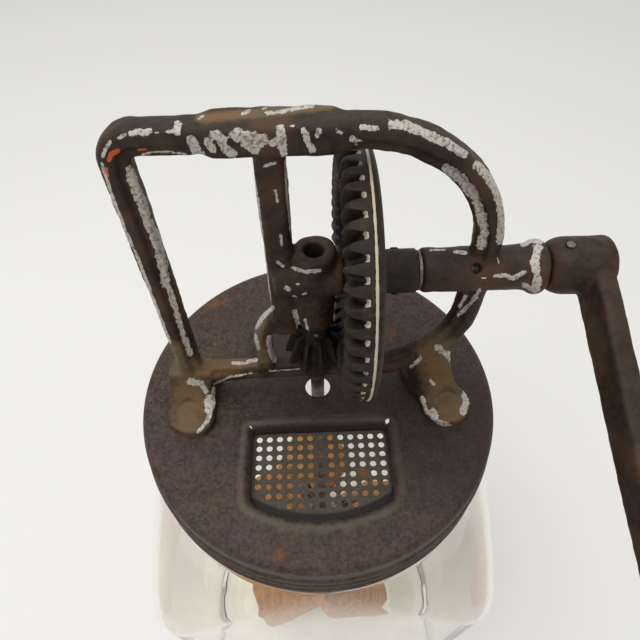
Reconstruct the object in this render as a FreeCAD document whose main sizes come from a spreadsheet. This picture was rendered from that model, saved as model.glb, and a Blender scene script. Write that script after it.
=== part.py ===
import FreeCAD, Part
import math
import os

import Sketcher
from FreeCAD import Placement, Rotation, Vector

# Hand cranked glass butter churn, in millimetres, +Z up.
# The origin is the centre of the jar's foot, on the axis of the dasher rod.
# +X runs along the crank shaft towards the crank, and -Y is the side with the vent screen.
# Everything above the jar is measured from the top face of the lid.

doc = FreeCAD.newDocument("glass_churn")

# Driving dimensions

DIMENSIONS = (
    ("jar_width", 142.0, "outside width of the square jar"),
    ("jar_corner", 25.0, "outside radius of the jar's upright corners"),
    ("jar_height", 235.0, "foot of the jar to its rim"),
    ("jar_wall", 4.5, "glass thickness"),
    ("jar_floor", 7.0, "glass thickness of the floor"),
    ("jar_heel", 6.0, "radius round the foot"),
    ("neck_radius", 61.5, "outside radius of the neck"),
    ("neck_height", 24.0, "rim down to the top of the shoulder"),
    ("shoulder_height", 44.0, "height of the shoulder"),
    ("bead_rise", 3.1, "neck to the outside of the glass bead under the lid"),
    ("bead_round", 2.2, "radius of that bead"),
    ("rim_round", 1.4, "rounding of the rim"),
    ("floor_round", 7.0, "rounding between the floor and the walls, inside"),
    ("rim_gap", 0.1, "air between the rim and the lid"),
    ("thread_room", 2.6, "air between the neck and the lid's skirt, where the thread lies"),
    ("lid_sheet", 0.9, "thickness of the lid's sheet steel"),
    ("lid_skirt", 20.0, "height of the lid's skirt"),
    ("lid_round", 2.2, "rounding of the lid's upper edge"),
    ("lid_bead", 0.9, "height of the rolled beads on the skirt"),
    ("lid_bead_half", 1.6, "half the width of a rolled bead"),
    ("curl_radius", 1.2, "radius of the curl at the skirt's lower edge"),
    ("rod_hole_radius", 4.75, "hole in the lid round the dasher rod"),
    ("vent_half_width", 25.0, "half the width of the vent recess"),
    ("vent_back", 15.8, "axis to the straight back edge of the vent recess"),
    ("vent_front_radius", 50.4, "radius of the curved front edge of the vent recess"),
    ("vent_corner", 3.0, "radius of the vent recess's corners"),
    ("vent_depth", 4.0, "depth of the vent recess"),
    ("vent_lip", 2.6, "width of the raised border round the vent recess"),
    ("vent_lip_height", 0.6, "height of that border"),
    ("screen_sheet", 0.6, "thickness of the perforated sheet"),
    ("screen_overlap", 1.8, "how far the perforated sheet reaches under the lid's sheet"),
    ("screen_pitch", 3.65, "spacing of the perforations"),
    ("screen_hole", 2.2, "diameter of a perforation"),
    ("screen_margin", 2.7, "back of the recess to the first row of perforations"),
    ("shaft_height", 62.6, "lid to the axis of the crank shaft"),
    ("shaft_radius", 3.15, "radius of the crank shaft"),
    ("rod_radius", 2.5, "radius of the dasher rod"),
    ("running_gap", 0.06, "radial clearance of a turning fit"),
    ("seat_gap", 0.02, "radial clearance of a fixed fit"),
    ("side_gap", 0.25, "end play between turning faces"),
    ("frame_left", 44.4, "axis to the middle of the upright bar"),
    ("frame_right", 47.4, "axis to the middle of the bowed bar"),
    ("top_clearance", 4.6, "edge of the crank gear to the underside of the top bar"),
    ("base_clearance", 7.4, "edge of the crank gear to the top of the base bar"),
    ("bar_width", 7.6, "width of the bar, seen from the front"),
    ("bar_depth", 7.8, "depth of the bar, front to back"),
    ("ledge_depth", 4.6, "depth of the thin inner ledge of the bar"),
    ("ledge_width", 3.0, "width of the thin inner ledge of the bar"),
    ("bar_rounding", 2.4, "rounding of the bar's outer edges"),
    ("ledge_round", 0.9, "rounding of the bar's inner edges"),
    ("corner_bend", 5.6, "bend radius of the two square corners"),
    ("bow_top_bend", 37.0, "bend radius of the upper bow"),
    ("bow_low_bend", 33.0, "bend radius of the lower bow"),
    ("pad_left", 26.0, "axis to the left end of the raised pad"),
    ("pad_right", 9.5, "axis to the right end of the raised pad"),
    ("pad_lift", 0.35, "middle of the top bar to the middle of the raised pad"),
    ("pad_width", 7.7, "height of the raised pad, seen from the front"),
    ("pad_depth", 10.0, "depth of the raised pad, front to back"),
    ("pad_blend", 4.4, "length over which each end of the pad runs out into the bar"),
    ("pad_round", 1.4, "rounding of the pad's edges"),
    ("post_place", 9.6, "axis to the middle of the central post"),
    ("post_width", 7.7, "width of the central post"),
    ("post_depth", 7.0, "depth of the central post"),
    ("leg_place", 17.7, "axis to the middle of the side leg beside the pinion"),
    ("leg_width", 5.6, "width of that leg"),
    ("leg_bend", 14.0, "bend radius of that leg"),
    ("post_drop", 3.6, "underside of the boss to the lower end of the post"),
    ("leg_drop", 9.1, "underside of the boss to the start of the leg's bend"),
    ("boss_radius", 6.3, "radius of the upright bearing boss"),
    ("boss_rise", 9.6, "shaft axis to the top of the boss"),
    ("stub_end", 8.2, "axis to the gear side of the shaft's inner bearing"),
    ("tube_start", 30.4, "axis to the inner end of the long shaft bearing"),
    ("tube_end", 66.0, "axis to the outer end of the long shaft bearing"),
    ("tube_radius", 6.53, "outside radius of the shaft bearings"),
    ("ring_radius", 8.2, "radius of the bead on the end of the long bearing"),
    ("step_radius", 5.2, "radius of the rod's lower bearing"),
    ("step_rise", 1.2, "base bar to the top of the lower bearing"),
    ("oil_hole_place", 45.0, "axis to the oil hole"),
    ("oil_hole_radius", 1.45, "radius of the oil hole"),
    ("oil_well_radius", 2.9, "radius of the oil well in the boss"),
    ("foot_place", 46.9, "axis to the middle of a foot"),
    ("foot_root_left", 44.9, "axis to the middle of the left foot where it meets the bar"),
    ("foot_root_right", 40.0, "axis to the middle of the right foot where it meets the bow"),
    ("foot_width", 16.4, "width of a foot"),
    ("foot_front", 18.6, "axis to the front end of a foot"),
    ("foot_back", 12.5, "axis to the back end of a foot"),
    ("foot_neck", 2.7, "middle of the base bar to the top of the left foot's neck"),
    ("foot_neck_rise", 7.4, "how much higher the right foot's neck ends"),
    ("foot_height", 4.8, "thickness of a foot"),
    ("neck_left", 15.6, "width of the left foot's neck at the bar"),
    ("neck_right", 12.0, "width of the right foot's neck at the bow"),
    ("neck_sag", 0.3, "height of a neck halfway to the foot, as a share of its rise"),
    ("rivet_front", 11.0, "axis to a front rivet"),
    ("rivet_back", 8.6, "axis to a back rivet"),
    ("rivet_radius", 2.0, "shank radius of a foot rivet"),
    ("rivet_head", 3.3, "head radius of a foot rivet"),
    ("rivet_head_height", 0.9, "height of the rivet's heads"),
    ("rivet_room", 0.4, "air round a rivet's head where the foot is faced for it"),
    ("gear_teeth", 46.0, "teeth of the crank gear"),
    ("pinion_teeth", 11.0, "teeth of the pinion"),
    ("gear_pitch_radius", 36.0, "pitch radius of the crank gear at its outer edge"),
    ("gear_edge", 0.5, "pitch radius to the outside of the toothed ring"),
    ("gear_face", 10.0, "width of the toothed ring"),
    ("gear_addendum", 1.66, "pitch line to the tips of the gear's teeth, in modules"),
    ("gear_dedendum", 1.5, "pitch line to the floor of the gear's gaps, in modules"),
    ("gear_tooth", 1.21, "thickness of a gear tooth at the pitch line, in modules"),
    ("gear_flank", 0.364, "how far a gear tooth's side draws in at its tip, in modules"),
    ("gear_rim_back", 14.0, "axis to the back of the gear's rim"),
    ("gear_web", 4.2, "thickness of the gear's web"),
    ("gear_hub_radius", 6.4, "radius of the gear's hub"),
    ("pinion_addendum", 1.28, "pitch line to the tips of the pinion's teeth, in modules"),
    ("pinion_dedendum", 1.85, "pitch line to the root of the pinion, in modules"),
    ("pinion_tooth", 1.08, "thickness of a pinion tooth at the pitch line, in modules"),
    ("pinion_flank", 0.32, "how far a pinion tooth's side draws in at its tip, in modules"),
    ("pinion_hub_radius", 4.5, "radius of the pinion's upper hub"),
    ("pinion_hub_rise", 5.25, "top of the pinion's teeth to the top of that hub"),
    ("washer_sheet", 0.8, "thickness of the washers"),
    ("gear_pin_radius", 1.25, "radius of the pins through the shaft"),
    ("rod_pin_radius", 0.9, "radius of the pins through the rod"),
    ("crank_throw", 92.0, "shaft axis to the knob's axis"),
    ("crank_rest_angle", 200.0, "direction of the crank at rest, turned about +X from +Y"),
    ("crank_start", 66.4, "axis to the inner end of the crank's hub"),
    ("crank_hub_length", 18.0, "length of the crank's hub"),
    ("crank_hub_radius", 8.4, "radius of the crank's hub"),
    ("arm_sheet", 6.4, "thickness of the crank arm"),
    ("arm_offset", 10.8, "inner end of the hub to the arm's inner face"),
    ("arm_root", 13.6, "width of the arm at the hub"),
    ("arm_tip", 10.4, "width of the arm at the knob"),
    ("arm_eye_radius", 7.4, "radius of the eye that holds the spindle"),
    ("spindle_radius", 2.8, "radius of the knob's spindle"),
    ("spindle_head", 4.6, "radius of the spindle's heads"),
    ("spindle_head_height", 1.4, "height of the spindle's heads"),
    ("knob_length", 62.0, "length of the wooden knob"),
    ("knob_radius", 12.8, "largest radius of the wooden knob"),
    ("knob_collar", 8.6, "radius of the knob at its inner end"),
    ("rod_length", 241.0, "length of the dasher rod"),
    ("rod_top_gap", 0.6, "air between the rod's top and the shaft"),
    ("dasher_drop", 158.0, "lid to the middle of the paddles, downwards"),
    ("hub_radius", 5.6, "radius of the dasher hub's sleeve"),
    ("hub_length", 38.0, "length of the dasher hub's sleeve"),
    ("ear_sheet", 2.2, "thickness of the hub's ears"),
    ("ear_reach", 27.0, "axis to the outer end of an ear"),
    ("ear_height", 24.0, "height of an ear"),
    ("paddle_inner", 7.0, "axis to the inner edge of a paddle"),
    ("paddle_outer", 51.0, "axis to the outer edge of a paddle"),
    ("paddle_height", 110.0, "height of a paddle along its own slope"),
    ("paddle_sheet", 5.0, "thickness of a paddle"),
    ("paddle_corner", 10.0, "radius of a paddle's outer corners"),
    ("paddle_lean", 24.0, "lean of the paddles from upright"),
    ("paddle_azimuth", 26.0, "direction of the first paddle from +X"),
    ("paddle_rivet_radius", 1.2, "shank radius of the paddle rivets"),
    ("paddle_rivet_head", 2.6, "head radius of the paddle rivets"),
    ("paddle_rivet_place", 16.0, "axis to the paddle rivets"),
    ("paddle_rivet_spread", 12.0, "distance between the two rivets of a paddle"),
)

sheet = doc.addObject("Spreadsheet::Sheet", "dims")
for row, (alias, size, meaning) in enumerate(DIMENSIONS, start=1):
    sheet.set("A%d" % row, meaning)
    sheet.set("B%d" % row, str(size))
    sheet.setAlias("B%d" % row, alias)
doc.recompute()

# Levels and places that several pieces share, as expressions on the sheet

LID_TOP = "(dims.jar_height + dims.rim_gap + dims.lid_sheet)"
SHAFT_LEVEL = "(%s + dims.shaft_height)" % LID_TOP
JAR_HALF = "(dims.jar_width / 2)"
NECK_BORE = "(dims.neck_radius - dims.jar_wall)"
SHOULDER_TOP = "(dims.jar_height - dims.neck_height)"
SHOULDER_FOOT = "(%s - dims.shoulder_height)" % SHOULDER_TOP
NECK_CLEAR = "(dims.neck_radius + dims.thread_room)"
LID_RADIUS = "(%s + dims.lid_sheet)" % NECK_CLEAR
BEAD_MIDDLE = "(dims.neck_radius + dims.bead_rise - dims.bead_round)"
MODULE = "(2 * dims.gear_pitch_radius / dims.gear_teeth)"
PINION_PITCH = "(dims.gear_pitch_radius * dims.pinion_teeth / dims.gear_teeth)"
GEAR_RADIUS = "(dims.gear_pitch_radius + dims.gear_edge)"
GEAR_INNER = "(%s - dims.gear_face)" % GEAR_RADIUS
FRAME_TOP = "(dims.shaft_height + %s + dims.top_clearance + dims.bar_width / 2)" % GEAR_RADIUS
FRAME_BASE = "(dims.shaft_height - %s - dims.base_clearance - dims.bar_width / 2)" % GEAR_RADIUS
BOSS_TOP = "(dims.shaft_height + dims.boss_rise)"
PINION_HIGH = "(dims.shaft_height - %s)" % GEAR_INNER
PINION_TOP = "(%s + dims.pinion_hub_rise)" % PINION_HIGH
BOSS_FOOT = "(%s + dims.side_gap)" % PINION_TOP
POST_FOOT = "(%s - dims.post_drop)" % BOSS_FOOT
LEG_BEND_LEVEL = "(%s - dims.leg_drop)" % BOSS_FOOT
SHAFT_BORE = "(dims.shaft_radius + dims.running_gap)"
ROD_BORE = "(dims.rod_radius + dims.running_gap)"
ROD_TOP = "(dims.shaft_height - dims.shaft_radius - dims.rod_top_gap)"
STEP_TOP = "(%s + dims.bar_width / 2 + dims.step_rise)" % FRAME_BASE
ARM_INNER = "(dims.crank_start + dims.arm_offset)"
ARM_OUTER = "(%s + dims.arm_sheet)" % ARM_INNER


def number(expression):
    """The value of an expression on the sheet."""
    return float(sheet.evalExpression(str(expression)))


# Helpers for bodies, sketches and features

def new_body(name, x="0", y="0", z="0", turn=None):
    """A sub-part's body, placed by three expressions and an optional rotation."""
    body = doc.addObject("PartDesign::Body", name)
    body.Label = name
    place = Vector(number(x), number(y), number(z))
    body.Placement = Placement(place, turn or Rotation())
    for axis, expression in zip("xyz", (x, y, z)):
        body.setExpression("Placement.Base." + axis, str(expression))
    return body


def new_sketch(body, name, plane="XY_Plane", shift=("0", "0", "0"), turn=None):
    """A sketch on one of the body's own origin planes, moved by expressions."""
    sketch = body.newObject("Sketcher::SketchObject", name)
    face = [f for f in body.Origin.OriginFeatures if f.Role == plane][0]
    sketch.AttachmentSupport = (face, [""])
    sketch.MapMode = "FlatFace"
    offset = Vector(*[number(s) for s in shift])
    sketch.AttachmentOffset = Placement(offset, turn or Rotation())
    for axis, expression in zip("xyz", shift):
        sketch.setExpression("AttachmentOffset.Base." + axis, str(expression))
    return sketch


def bind(sketch, constraint, expression):
    """Add a constraint and tie its value to the sheet."""
    index = sketch.addConstraint(constraint)
    sketch.setExpression("Constraints[%d]" % index, str(expression))


def fix_point(sketch, edge, end, x, y):
    """Hold a point of an edge at two expressions; an exact zero lies on the axis."""
    for kind, expression, axis in (("DistanceX", x, -2), ("DistanceY", y, -1)):
        value = number(expression)
        if abs(value) < 1e-9:
            sketch.addConstraint(Sketcher.Constraint("PointOnObject", edge, end, axis))
        else:
            bind(sketch, Sketcher.Constraint(kind, edge, end, value), expression)


def draw_circle(sketch, x, y, radius):
    """A circle whose centre and radius are expressions."""
    centre = Vector(number(x), number(y), 0)
    shape = Part.Circle(centre, Vector(0, 0, 1), number(radius))
    edge = sketch.addGeometry(shape)
    fix_point(sketch, edge, 3, x, y)
    bind(sketch, Sketcher.Constraint("Radius", edge, number(radius)), radius)


def arc_through(start, end, radius, side):
    """The arc of under half a turn from start to end; side 1 turns left and -1 turns right."""
    chord = end - start
    rise = math.sqrt(max(radius ** 2 - chord.Length ** 2 / 4, 0.0))
    left = Vector(-chord.y, chord.x, 0).normalize()
    centre = (start + end) * 0.5 + left * (side * rise)
    first, last = (start, end) if side > 0 else (end, start)
    angles = [math.atan2(p.y - centre.y, p.x - centre.x) for p in (first, last)]
    circle = Part.Circle(centre, Vector(0, 0, 1), radius)
    return Part.ArcOfCircle(circle, angles[0], angles[1])


def draw_path(sketch, corners, closed=True):
    """Lines and arcs through corners given as expressions.

    A corner is (x, y) or (x, y, radius, side), where radius and side shape the edge
    that leaves it: side 1 is an arc that turns left, and -1 one that turns right.
    """
    points = [Vector(number(c[0]), number(c[1]), 0) for c in corners]
    count = len(corners) if closed else len(corners) - 1
    ends = []
    for k in range(count):
        start, end = points[k], points[(k + 1) % len(points)]
        if len(corners[k]) == 4:
            radius, side = corners[k][2:]
            edge = sketch.addGeometry(arc_through(start, end, number(radius), side))
            bind(sketch, Sketcher.Constraint("Radius", edge, number(radius)), radius)
            ends.append((edge, 1, 2) if side > 0 else (edge, 2, 1))
        else:
            edge = sketch.addGeometry(Part.LineSegment(start, end))
            ends.append((edge, 1, 2))
    for k in range(count):
        edge, first, last = ends[k]
        fix_point(sketch, edge, first, *corners[k][:2])
        if closed or k + 1 < count:
            after = ends[(k + 1) % count]
            sketch.addConstraint(Sketcher.Constraint("Coincident", edge, last, after[0], after[1]))
    if not closed:
        fix_point(sketch, ends[-1][0], ends[-1][2], *corners[-1][:2])


def draw_rounded_box(sketch, low_x, high_x, low_y, high_y, radius):
    """A rectangle with equal rounded corners, all as expressions."""
    left, right = "(%s)" % low_x, "(%s)" % high_x
    low, high = "(%s)" % low_y, "(%s)" % high_y
    round_ = "(%s)" % radius
    draw_path(sketch, [
        (left + " + " + round_, low),
        (right + " - " + round_, low, round_, 1),
        (right, low + " + " + round_),
        (right, high + " - " + round_, round_, 1),
        (right + " - " + round_, high),
        (left + " + " + round_, high, round_, 1),
        (left, high + " - " + round_),
        (left, low + " + " + round_, round_, 1),
    ])


def pad(body, sketch, length, middle=False, reverse=False, kind="Pad"):
    """Pad or pocket a sketch by an expression."""
    feature = body.newObject("PartDesign::" + kind, sketch.Name + "_" + kind.lower())
    feature.Profile = sketch
    feature.setExpression("Length", str(length))
    feature.SideType = "Symmetric" if middle else "One side"
    feature.Reversed = reverse
    return feature


def revolve(body, sketch, axis, kind="Revolution"):
    """Turn a sketch a full turn about its own H_Axis or V_Axis."""
    feature = body.newObject("PartDesign::" + kind, sketch.Name + "_turn")
    feature.Profile = sketch
    feature.ReferenceAxis = (sketch, [axis])
    feature.Angle = 360.0
    return feature


def loft(body, sketches, kind="AdditiveLoft", ruled=False):
    """A loft through sketches, first to last."""
    feature = body.newObject("PartDesign::" + kind, sketches[0].Name + "_loft")
    feature.Profile = sketches[0]
    feature.Sections = sketches[1:]
    feature.Ruled = ruled
    return feature


def pipe(body, section, spine):
    """Carry a section along a spine."""
    feature = body.newObject("PartDesign::AdditivePipe", section.Name + "_pipe")
    feature.Profile = section
    feature.Spine = spine
    return feature


def polar(body, feature, plane_axis, count):
    """Repeat a feature round one of the body's own axes."""
    pattern = body.newObject("PartDesign::PolarPattern", feature.Name + "_ring")
    pattern.Originals = [feature]
    axis = [f for f in body.Origin.OriginFeatures if f.Role == plane_axis][0]
    pattern.Axis = (axis, [""])
    pattern.Angle = 360.0
    pattern.setExpression("Occurrences", str(count))
    body.Tip = pattern
    return pattern


def soften(body, feature, radius, wanted, kind="Fillet"):
    """Fillet or chamfer the edges for which wanted(edge) is true."""
    doc.recompute()
    edges = feature.Shape.Edges
    names = ["Edge%d" % (k + 1) for k, edge in enumerate(edges) if wanted(edge)]
    result = body.newObject("PartDesign::" + kind, feature.Name + "_" + kind.lower())
    result.Base = (feature, names)
    result.setExpression("Radius" if kind == "Fillet" else "Size", str(radius))
    return result


def lies_at(edge, axis, level):
    """Whether an edge lies wholly at one level of an axis, in the body's own frame."""
    box = edge.BoundBox
    low, high = getattr(box, axis + "Min"), getattr(box, axis + "Max")
    return abs(low - level) < 1e-3 and abs(high - level) < 1e-3


# Jar: square walls that turn through a domed shoulder into a round neck

def shoulder(body, name, half, corner, top_radius, low, high, kind, steps=5):
    """Rounded squares that shrink and grow round up a quarter of an ellipse, lofted."""
    sketches = []
    for k in range(steps + 1):
        turn = 90.0 * k / steps
        level = "%s + (%s - %s) * sin(%s)" % (low, high, low, turn)
        size = "(%s + (%s - %s) * cos(%s))" % (top_radius, half, top_radius, turn)
        bend = "(%s + (%s * 0.985 - %s) * (1 - cos(%s)))" % (corner, top_radius, corner, turn)
        sketch = new_sketch(body, "%s_%d" % (name, k), shift=("0", "0", level))
        draw_rounded_box(sketch, "-" + size, size, "-" + size, size, bend)
        sketches.append(sketch)
    return loft(body, sketches, kind)


jar = new_body("jar")
INNER_HALF = "(%s - dims.jar_wall)" % JAR_HALF
INNER_CORNER = "(dims.jar_corner - dims.jar_wall)"
INNER_TOP = "(%s - dims.jar_wall * 0.7)" % SHOULDER_TOP

walls = new_sketch(jar, "walls")
draw_rounded_box(walls, "-" + JAR_HALF, JAR_HALF, "-" + JAR_HALF, JAR_HALF, "dims.jar_corner")
block = pad(jar, walls, SHOULDER_FOOT)
soften(jar, block, "dims.jar_heel", lambda edge: lies_at(edge, "Z", 0.0))
shoulder(jar, "dome", JAR_HALF, "dims.jar_corner", "(dims.neck_radius + 2)",
         SHOULDER_FOOT, SHOULDER_TOP, "AdditiveLoft")
neck = new_sketch(jar, "neck", shift=("0", "0", SHOULDER_TOP + " - 6"))
draw_circle(neck, "0", "0", "dims.neck_radius")
pad(jar, neck, "dims.neck_height + 6")
bead = new_sketch(jar, "bead", "XZ_Plane")
draw_circle(bead, BEAD_MIDDLE, SHOULDER_TOP + " + 0.5", "dims.bead_round")
revolve(jar, bead, "V_Axis")
cavity = new_sketch(jar, "cavity", shift=("0", "0", "dims.jar_floor"))
draw_rounded_box(cavity, "-" + INNER_HALF, INNER_HALF, "-" + INNER_HALF, INNER_HALF, INNER_CORNER)
pad(jar, cavity, "%s - dims.jar_floor" % SHOULDER_FOOT, reverse=True, kind="Pocket")
shoulder(jar, "vault", INNER_HALF, INNER_CORNER, NECK_BORE, SHOULDER_FOOT, INNER_TOP,
         "SubtractiveLoft")
mouth = new_sketch(jar, "mouth", shift=("0", "0", INNER_TOP + " - 1"))
draw_circle(mouth, "0", "0", NECK_BORE)
opened = pad(jar, mouth, "dims.neck_height + 10", reverse=True, kind="Pocket")
rounded = soften(jar, opened, "dims.rim_round",
                 lambda edge: lies_at(edge, "Z", number("dims.jar_height")))
soften(jar, rounded, "dims.floor_round", lambda edge: lies_at(edge, "Z", number("dims.jar_floor")))

# Lid: pressed steel with a recess for the vent screen

def vent_outline(sketch, grow):
    """The recess outline, widened by grow: a straight back and a front round the axis."""
    c = "(dims.vent_corner + %s)" % grow
    w = "(dims.vent_half_width + %s)" % grow
    big = "(dims.vent_front_radius + %s)" % grow
    back = "(%s - dims.vent_back)" % grow
    inset = "(%s - %s)" % (w, c)
    low = "(0 - sqrt((%s - %s) ^ 2 - %s ^ 2))" % (big, c, inset)
    scale = "(%s / (%s - %s))" % (big, big, c)
    draw_path(sketch, [
        (inset, back),
        ("0 - " + inset, back, c, 1),
        ("0 - " + w, "%s - %s" % (back, c)),
        ("0 - " + w, low, c, 1),
        ("0 - %s * %s" % (inset, scale), "%s * %s" % (low, scale), big, 1),
        ("%s * %s" % (inset, scale), "%s * %s" % (low, scale), c, 1),
        (w, low),
        (w, "%s - %s" % (back, c), c, 1),
    ])


lid = new_body("lid", z=LID_TOP)
BEAD_RADIUS = "((dims.lid_bead_half ^ 2 + dims.lid_bead ^ 2) / (2 * dims.lid_bead))"
profile = [
    ("dims.rod_hole_radius", "0 - dims.lid_sheet"),
    (LID_RADIUS + " - dims.lid_round", "0 - dims.lid_sheet", "dims.lid_round - dims.lid_sheet", -1),
    (LID_RADIUS + " - dims.lid_sheet", "0 - dims.lid_round"),
    (LID_RADIUS + " - dims.lid_sheet", "0 - dims.lid_skirt"),
    (LID_RADIUS, "0 - dims.lid_skirt"),
]
for share in (0.70, 0.45):
    middle = "(0 - dims.lid_skirt * %s)" % share
    profile.append((LID_RADIUS, middle + " - dims.lid_bead_half", BEAD_RADIUS, 1))
    profile.append((LID_RADIUS, middle + " + dims.lid_bead_half"))
profile += [
    (LID_RADIUS, "0 - dims.lid_round", "dims.lid_round", 1),
    (LID_RADIUS + " - dims.lid_round", "0"),
    ("dims.rod_hole_radius", "0"),
]
pressing = new_sketch(lid, "pressing", "XZ_Plane")
draw_path(pressing, profile)
revolve(lid, pressing, "V_Axis")
curl = new_sketch(lid, "curl", "XZ_Plane")
draw_circle(curl, LID_RADIUS + " - 0.1", "dims.curl_radius / 2 - dims.lid_skirt", "dims.curl_radius")
revolve(lid, curl, "V_Axis")
border = new_sketch(lid, "vent_border", shift=("0", "0", "0 - dims.lid_sheet / 2"))
vent_outline(border, "dims.vent_lip")
pad(lid, border, "dims.lid_sheet / 2 + dims.vent_lip_height")
tray = new_sketch(lid, "vent_wall", shift=("0", "0", "0 - dims.vent_depth"))
vent_outline(tray, "dims.lid_sheet")
pad(lid, tray, "dims.vent_depth")
window = new_sketch(lid, "vent_window", shift=("0", "0", "1 - dims.vent_depth - 2"))
vent_outline(window, "0")
pad(lid, window, "dims.vent_depth + 3", reverse=True, kind="Pocket")
RIVETS = (("0 - dims.foot_place", "0 - dims.rivet_front"), ("dims.foot_place", "0 - dims.rivet_front"),
          ("0 - dims.foot_root_left", "dims.rivet_back"), ("dims.foot_root_right", "dims.rivet_back"))
lid_holes = new_sketch(lid, "lid_rivet_holes")
for x, y in RIVETS:
    draw_circle(lid_holes, x, y, "dims.rivet_radius + dims.seat_gap")
pad(lid, lid_holes, "4", middle=True, kind="Pocket")

# Vent screen: perforated sheet under the recess

vent_screen = new_body("vent_screen", z="%s - dims.vent_depth" % LID_TOP)
perforated = new_sketch(vent_screen, "perforated")
vent_outline(perforated, "dims.screen_overlap")
pad(vent_screen, perforated, "dims.screen_sheet", reverse=True)
ROWS = (13, 13, 13, 13, 13, 13, 11, 9)
holes = new_sketch(vent_screen, "holes")
for row, count in enumerate(ROWS):
    y = "0 - dims.vent_back - dims.screen_margin - dims.screen_pitch * %d" % row
    for k in range(count):
        x = "dims.screen_pitch * %g" % (k - (count - 1) / 2)
        draw_circle(holes, x, y, "dims.screen_hole / 2")
pad(vent_screen, holes, "4 * dims.screen_sheet", middle=True, kind="Pocket")

# Frame: one casting with two feet, a bowed side and the bearings

frame = new_body("frame", z=LID_TOP)
LEFT = "(0 - dims.frame_left)"
TOP_BOW_X = "(dims.frame_right - dims.bow_top_bend)"
TOP_BOW_Z = "(" + FRAME_TOP + " - dims.bow_top_bend)"
LOW_BOW_X = "(dims.frame_right - dims.bow_low_bend)"
LOW_BOW_Z = "(" + FRAME_BASE + " + dims.bow_low_bend)"
ring = new_sketch(frame, "ring", "XZ_Plane")
draw_path(ring, [
    ("0", FRAME_BASE),
    (LOW_BOW_X, FRAME_BASE, "dims.bow_low_bend", 1),
    ("dims.frame_right", LOW_BOW_Z),
    ("dims.frame_right", TOP_BOW_Z, "dims.bow_top_bend", 1),
    (TOP_BOW_X, FRAME_TOP),
    (LEFT + " + dims.corner_bend", FRAME_TOP, "dims.corner_bend", 1),
    (LEFT, FRAME_TOP + " - dims.corner_bend"),
    (LEFT, FRAME_BASE + " + dims.corner_bend", "dims.corner_bend", 1),
    (LEFT + " + dims.corner_bend", FRAME_BASE),
])
bar = new_sketch(frame, "bar", "YZ_Plane")
half, ledge, r = "dims.bar_depth / 2", "dims.ledge_depth / 2", "dims.bar_rounding"
low = "(" + FRAME_BASE + " - dims.bar_width / 2)"
top = "(" + FRAME_BASE + " + dims.bar_width / 2)"
step = "(%s - dims.ledge_width)" % top
q = "dims.ledge_round"
draw_path(bar, [
    ("%s - %s" % (r, half), low),
    ("%s - %s" % (half, r), low, r, 1),
    (half, "%s + %s" % (low, r)),
    (half, "%s - %s" % (step, q), q, 1),
    ("%s - %s" % (half, q), step),
    (ledge, step),
    (ledge, "%s - %s" % (top, q), q, 1),
    ("%s - %s" % (ledge, q), top),
    ("%s - %s" % (q, ledge), top, q, 1),
    ("0 - " + ledge, "%s - %s" % (top, q)),
    ("0 - " + ledge, step),
    ("%s - %s" % (q, half), step, q, 1),
    ("0 - " + half, "%s - %s" % (step, q)),
    ("0 - " + half, "%s + %s" % (low, r), r, 1),
])
pipe(frame, bar, ring)

PAD_LEVEL = FRAME_TOP + " + dims.pad_lift"
plates = []
for name, place, tall, deep in (
        ("pad_start", "0 - dims.pad_left", "dims.bar_width * 0.8", "dims.bar_depth * 0.8"),
        ("pad_rise", "dims.pad_blend - dims.pad_left", "dims.pad_width", "dims.pad_depth"),
        ("pad_fall", "dims.pad_right - dims.pad_blend", "dims.pad_width", "dims.pad_depth"),
        ("pad_end", "dims.pad_right", "dims.bar_width * 0.8", "dims.bar_depth * 0.8")):
    plate = new_sketch(frame, name, "YZ_Plane", shift=("0", "0", place))
    draw_rounded_box(plate, "0 - %s / 2" % deep, deep + " / 2", "%s - %s / 2" % (PAD_LEVEL, tall),
                     "%s + %s / 2" % (PAD_LEVEL, tall), "dims.pad_round")
    plates.append(plate)
loft(frame, plates, ruled=True)
post = new_sketch(frame, "post", shift=("0", "0", POST_FOOT))
draw_rounded_box(post, "0 - dims.post_place - dims.post_width / 2",
                 "dims.post_width / 2 - dims.post_place", "0 - dims.post_depth / 2",
                 "dims.post_depth / 2", "2")
pad(frame, post, FRAME_TOP + " - " + POST_FOOT)
leg_path = new_sketch(frame, "leg_path", "XZ_Plane")
draw_path(leg_path, [
    ("0 - dims.leg_place", FRAME_BASE),
    ("0 - dims.leg_place", LEG_BEND_LEVEL, "dims.leg_bend", -1),
    ("dims.leg_bend * 0.5 - dims.leg_place", LEG_BEND_LEVEL + " + dims.leg_bend * sin(60)"),
], closed=False)
leg_section = new_sketch(frame, "leg_section", shift=("0 - dims.leg_place", "0", FRAME_BASE))
draw_rounded_box(leg_section, "0 - dims.leg_width / 2", "dims.leg_width / 2",
                 "0 - dims.post_depth / 2", "dims.post_depth / 2", "1.8")
pipe(frame, leg_section, leg_path)

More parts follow.
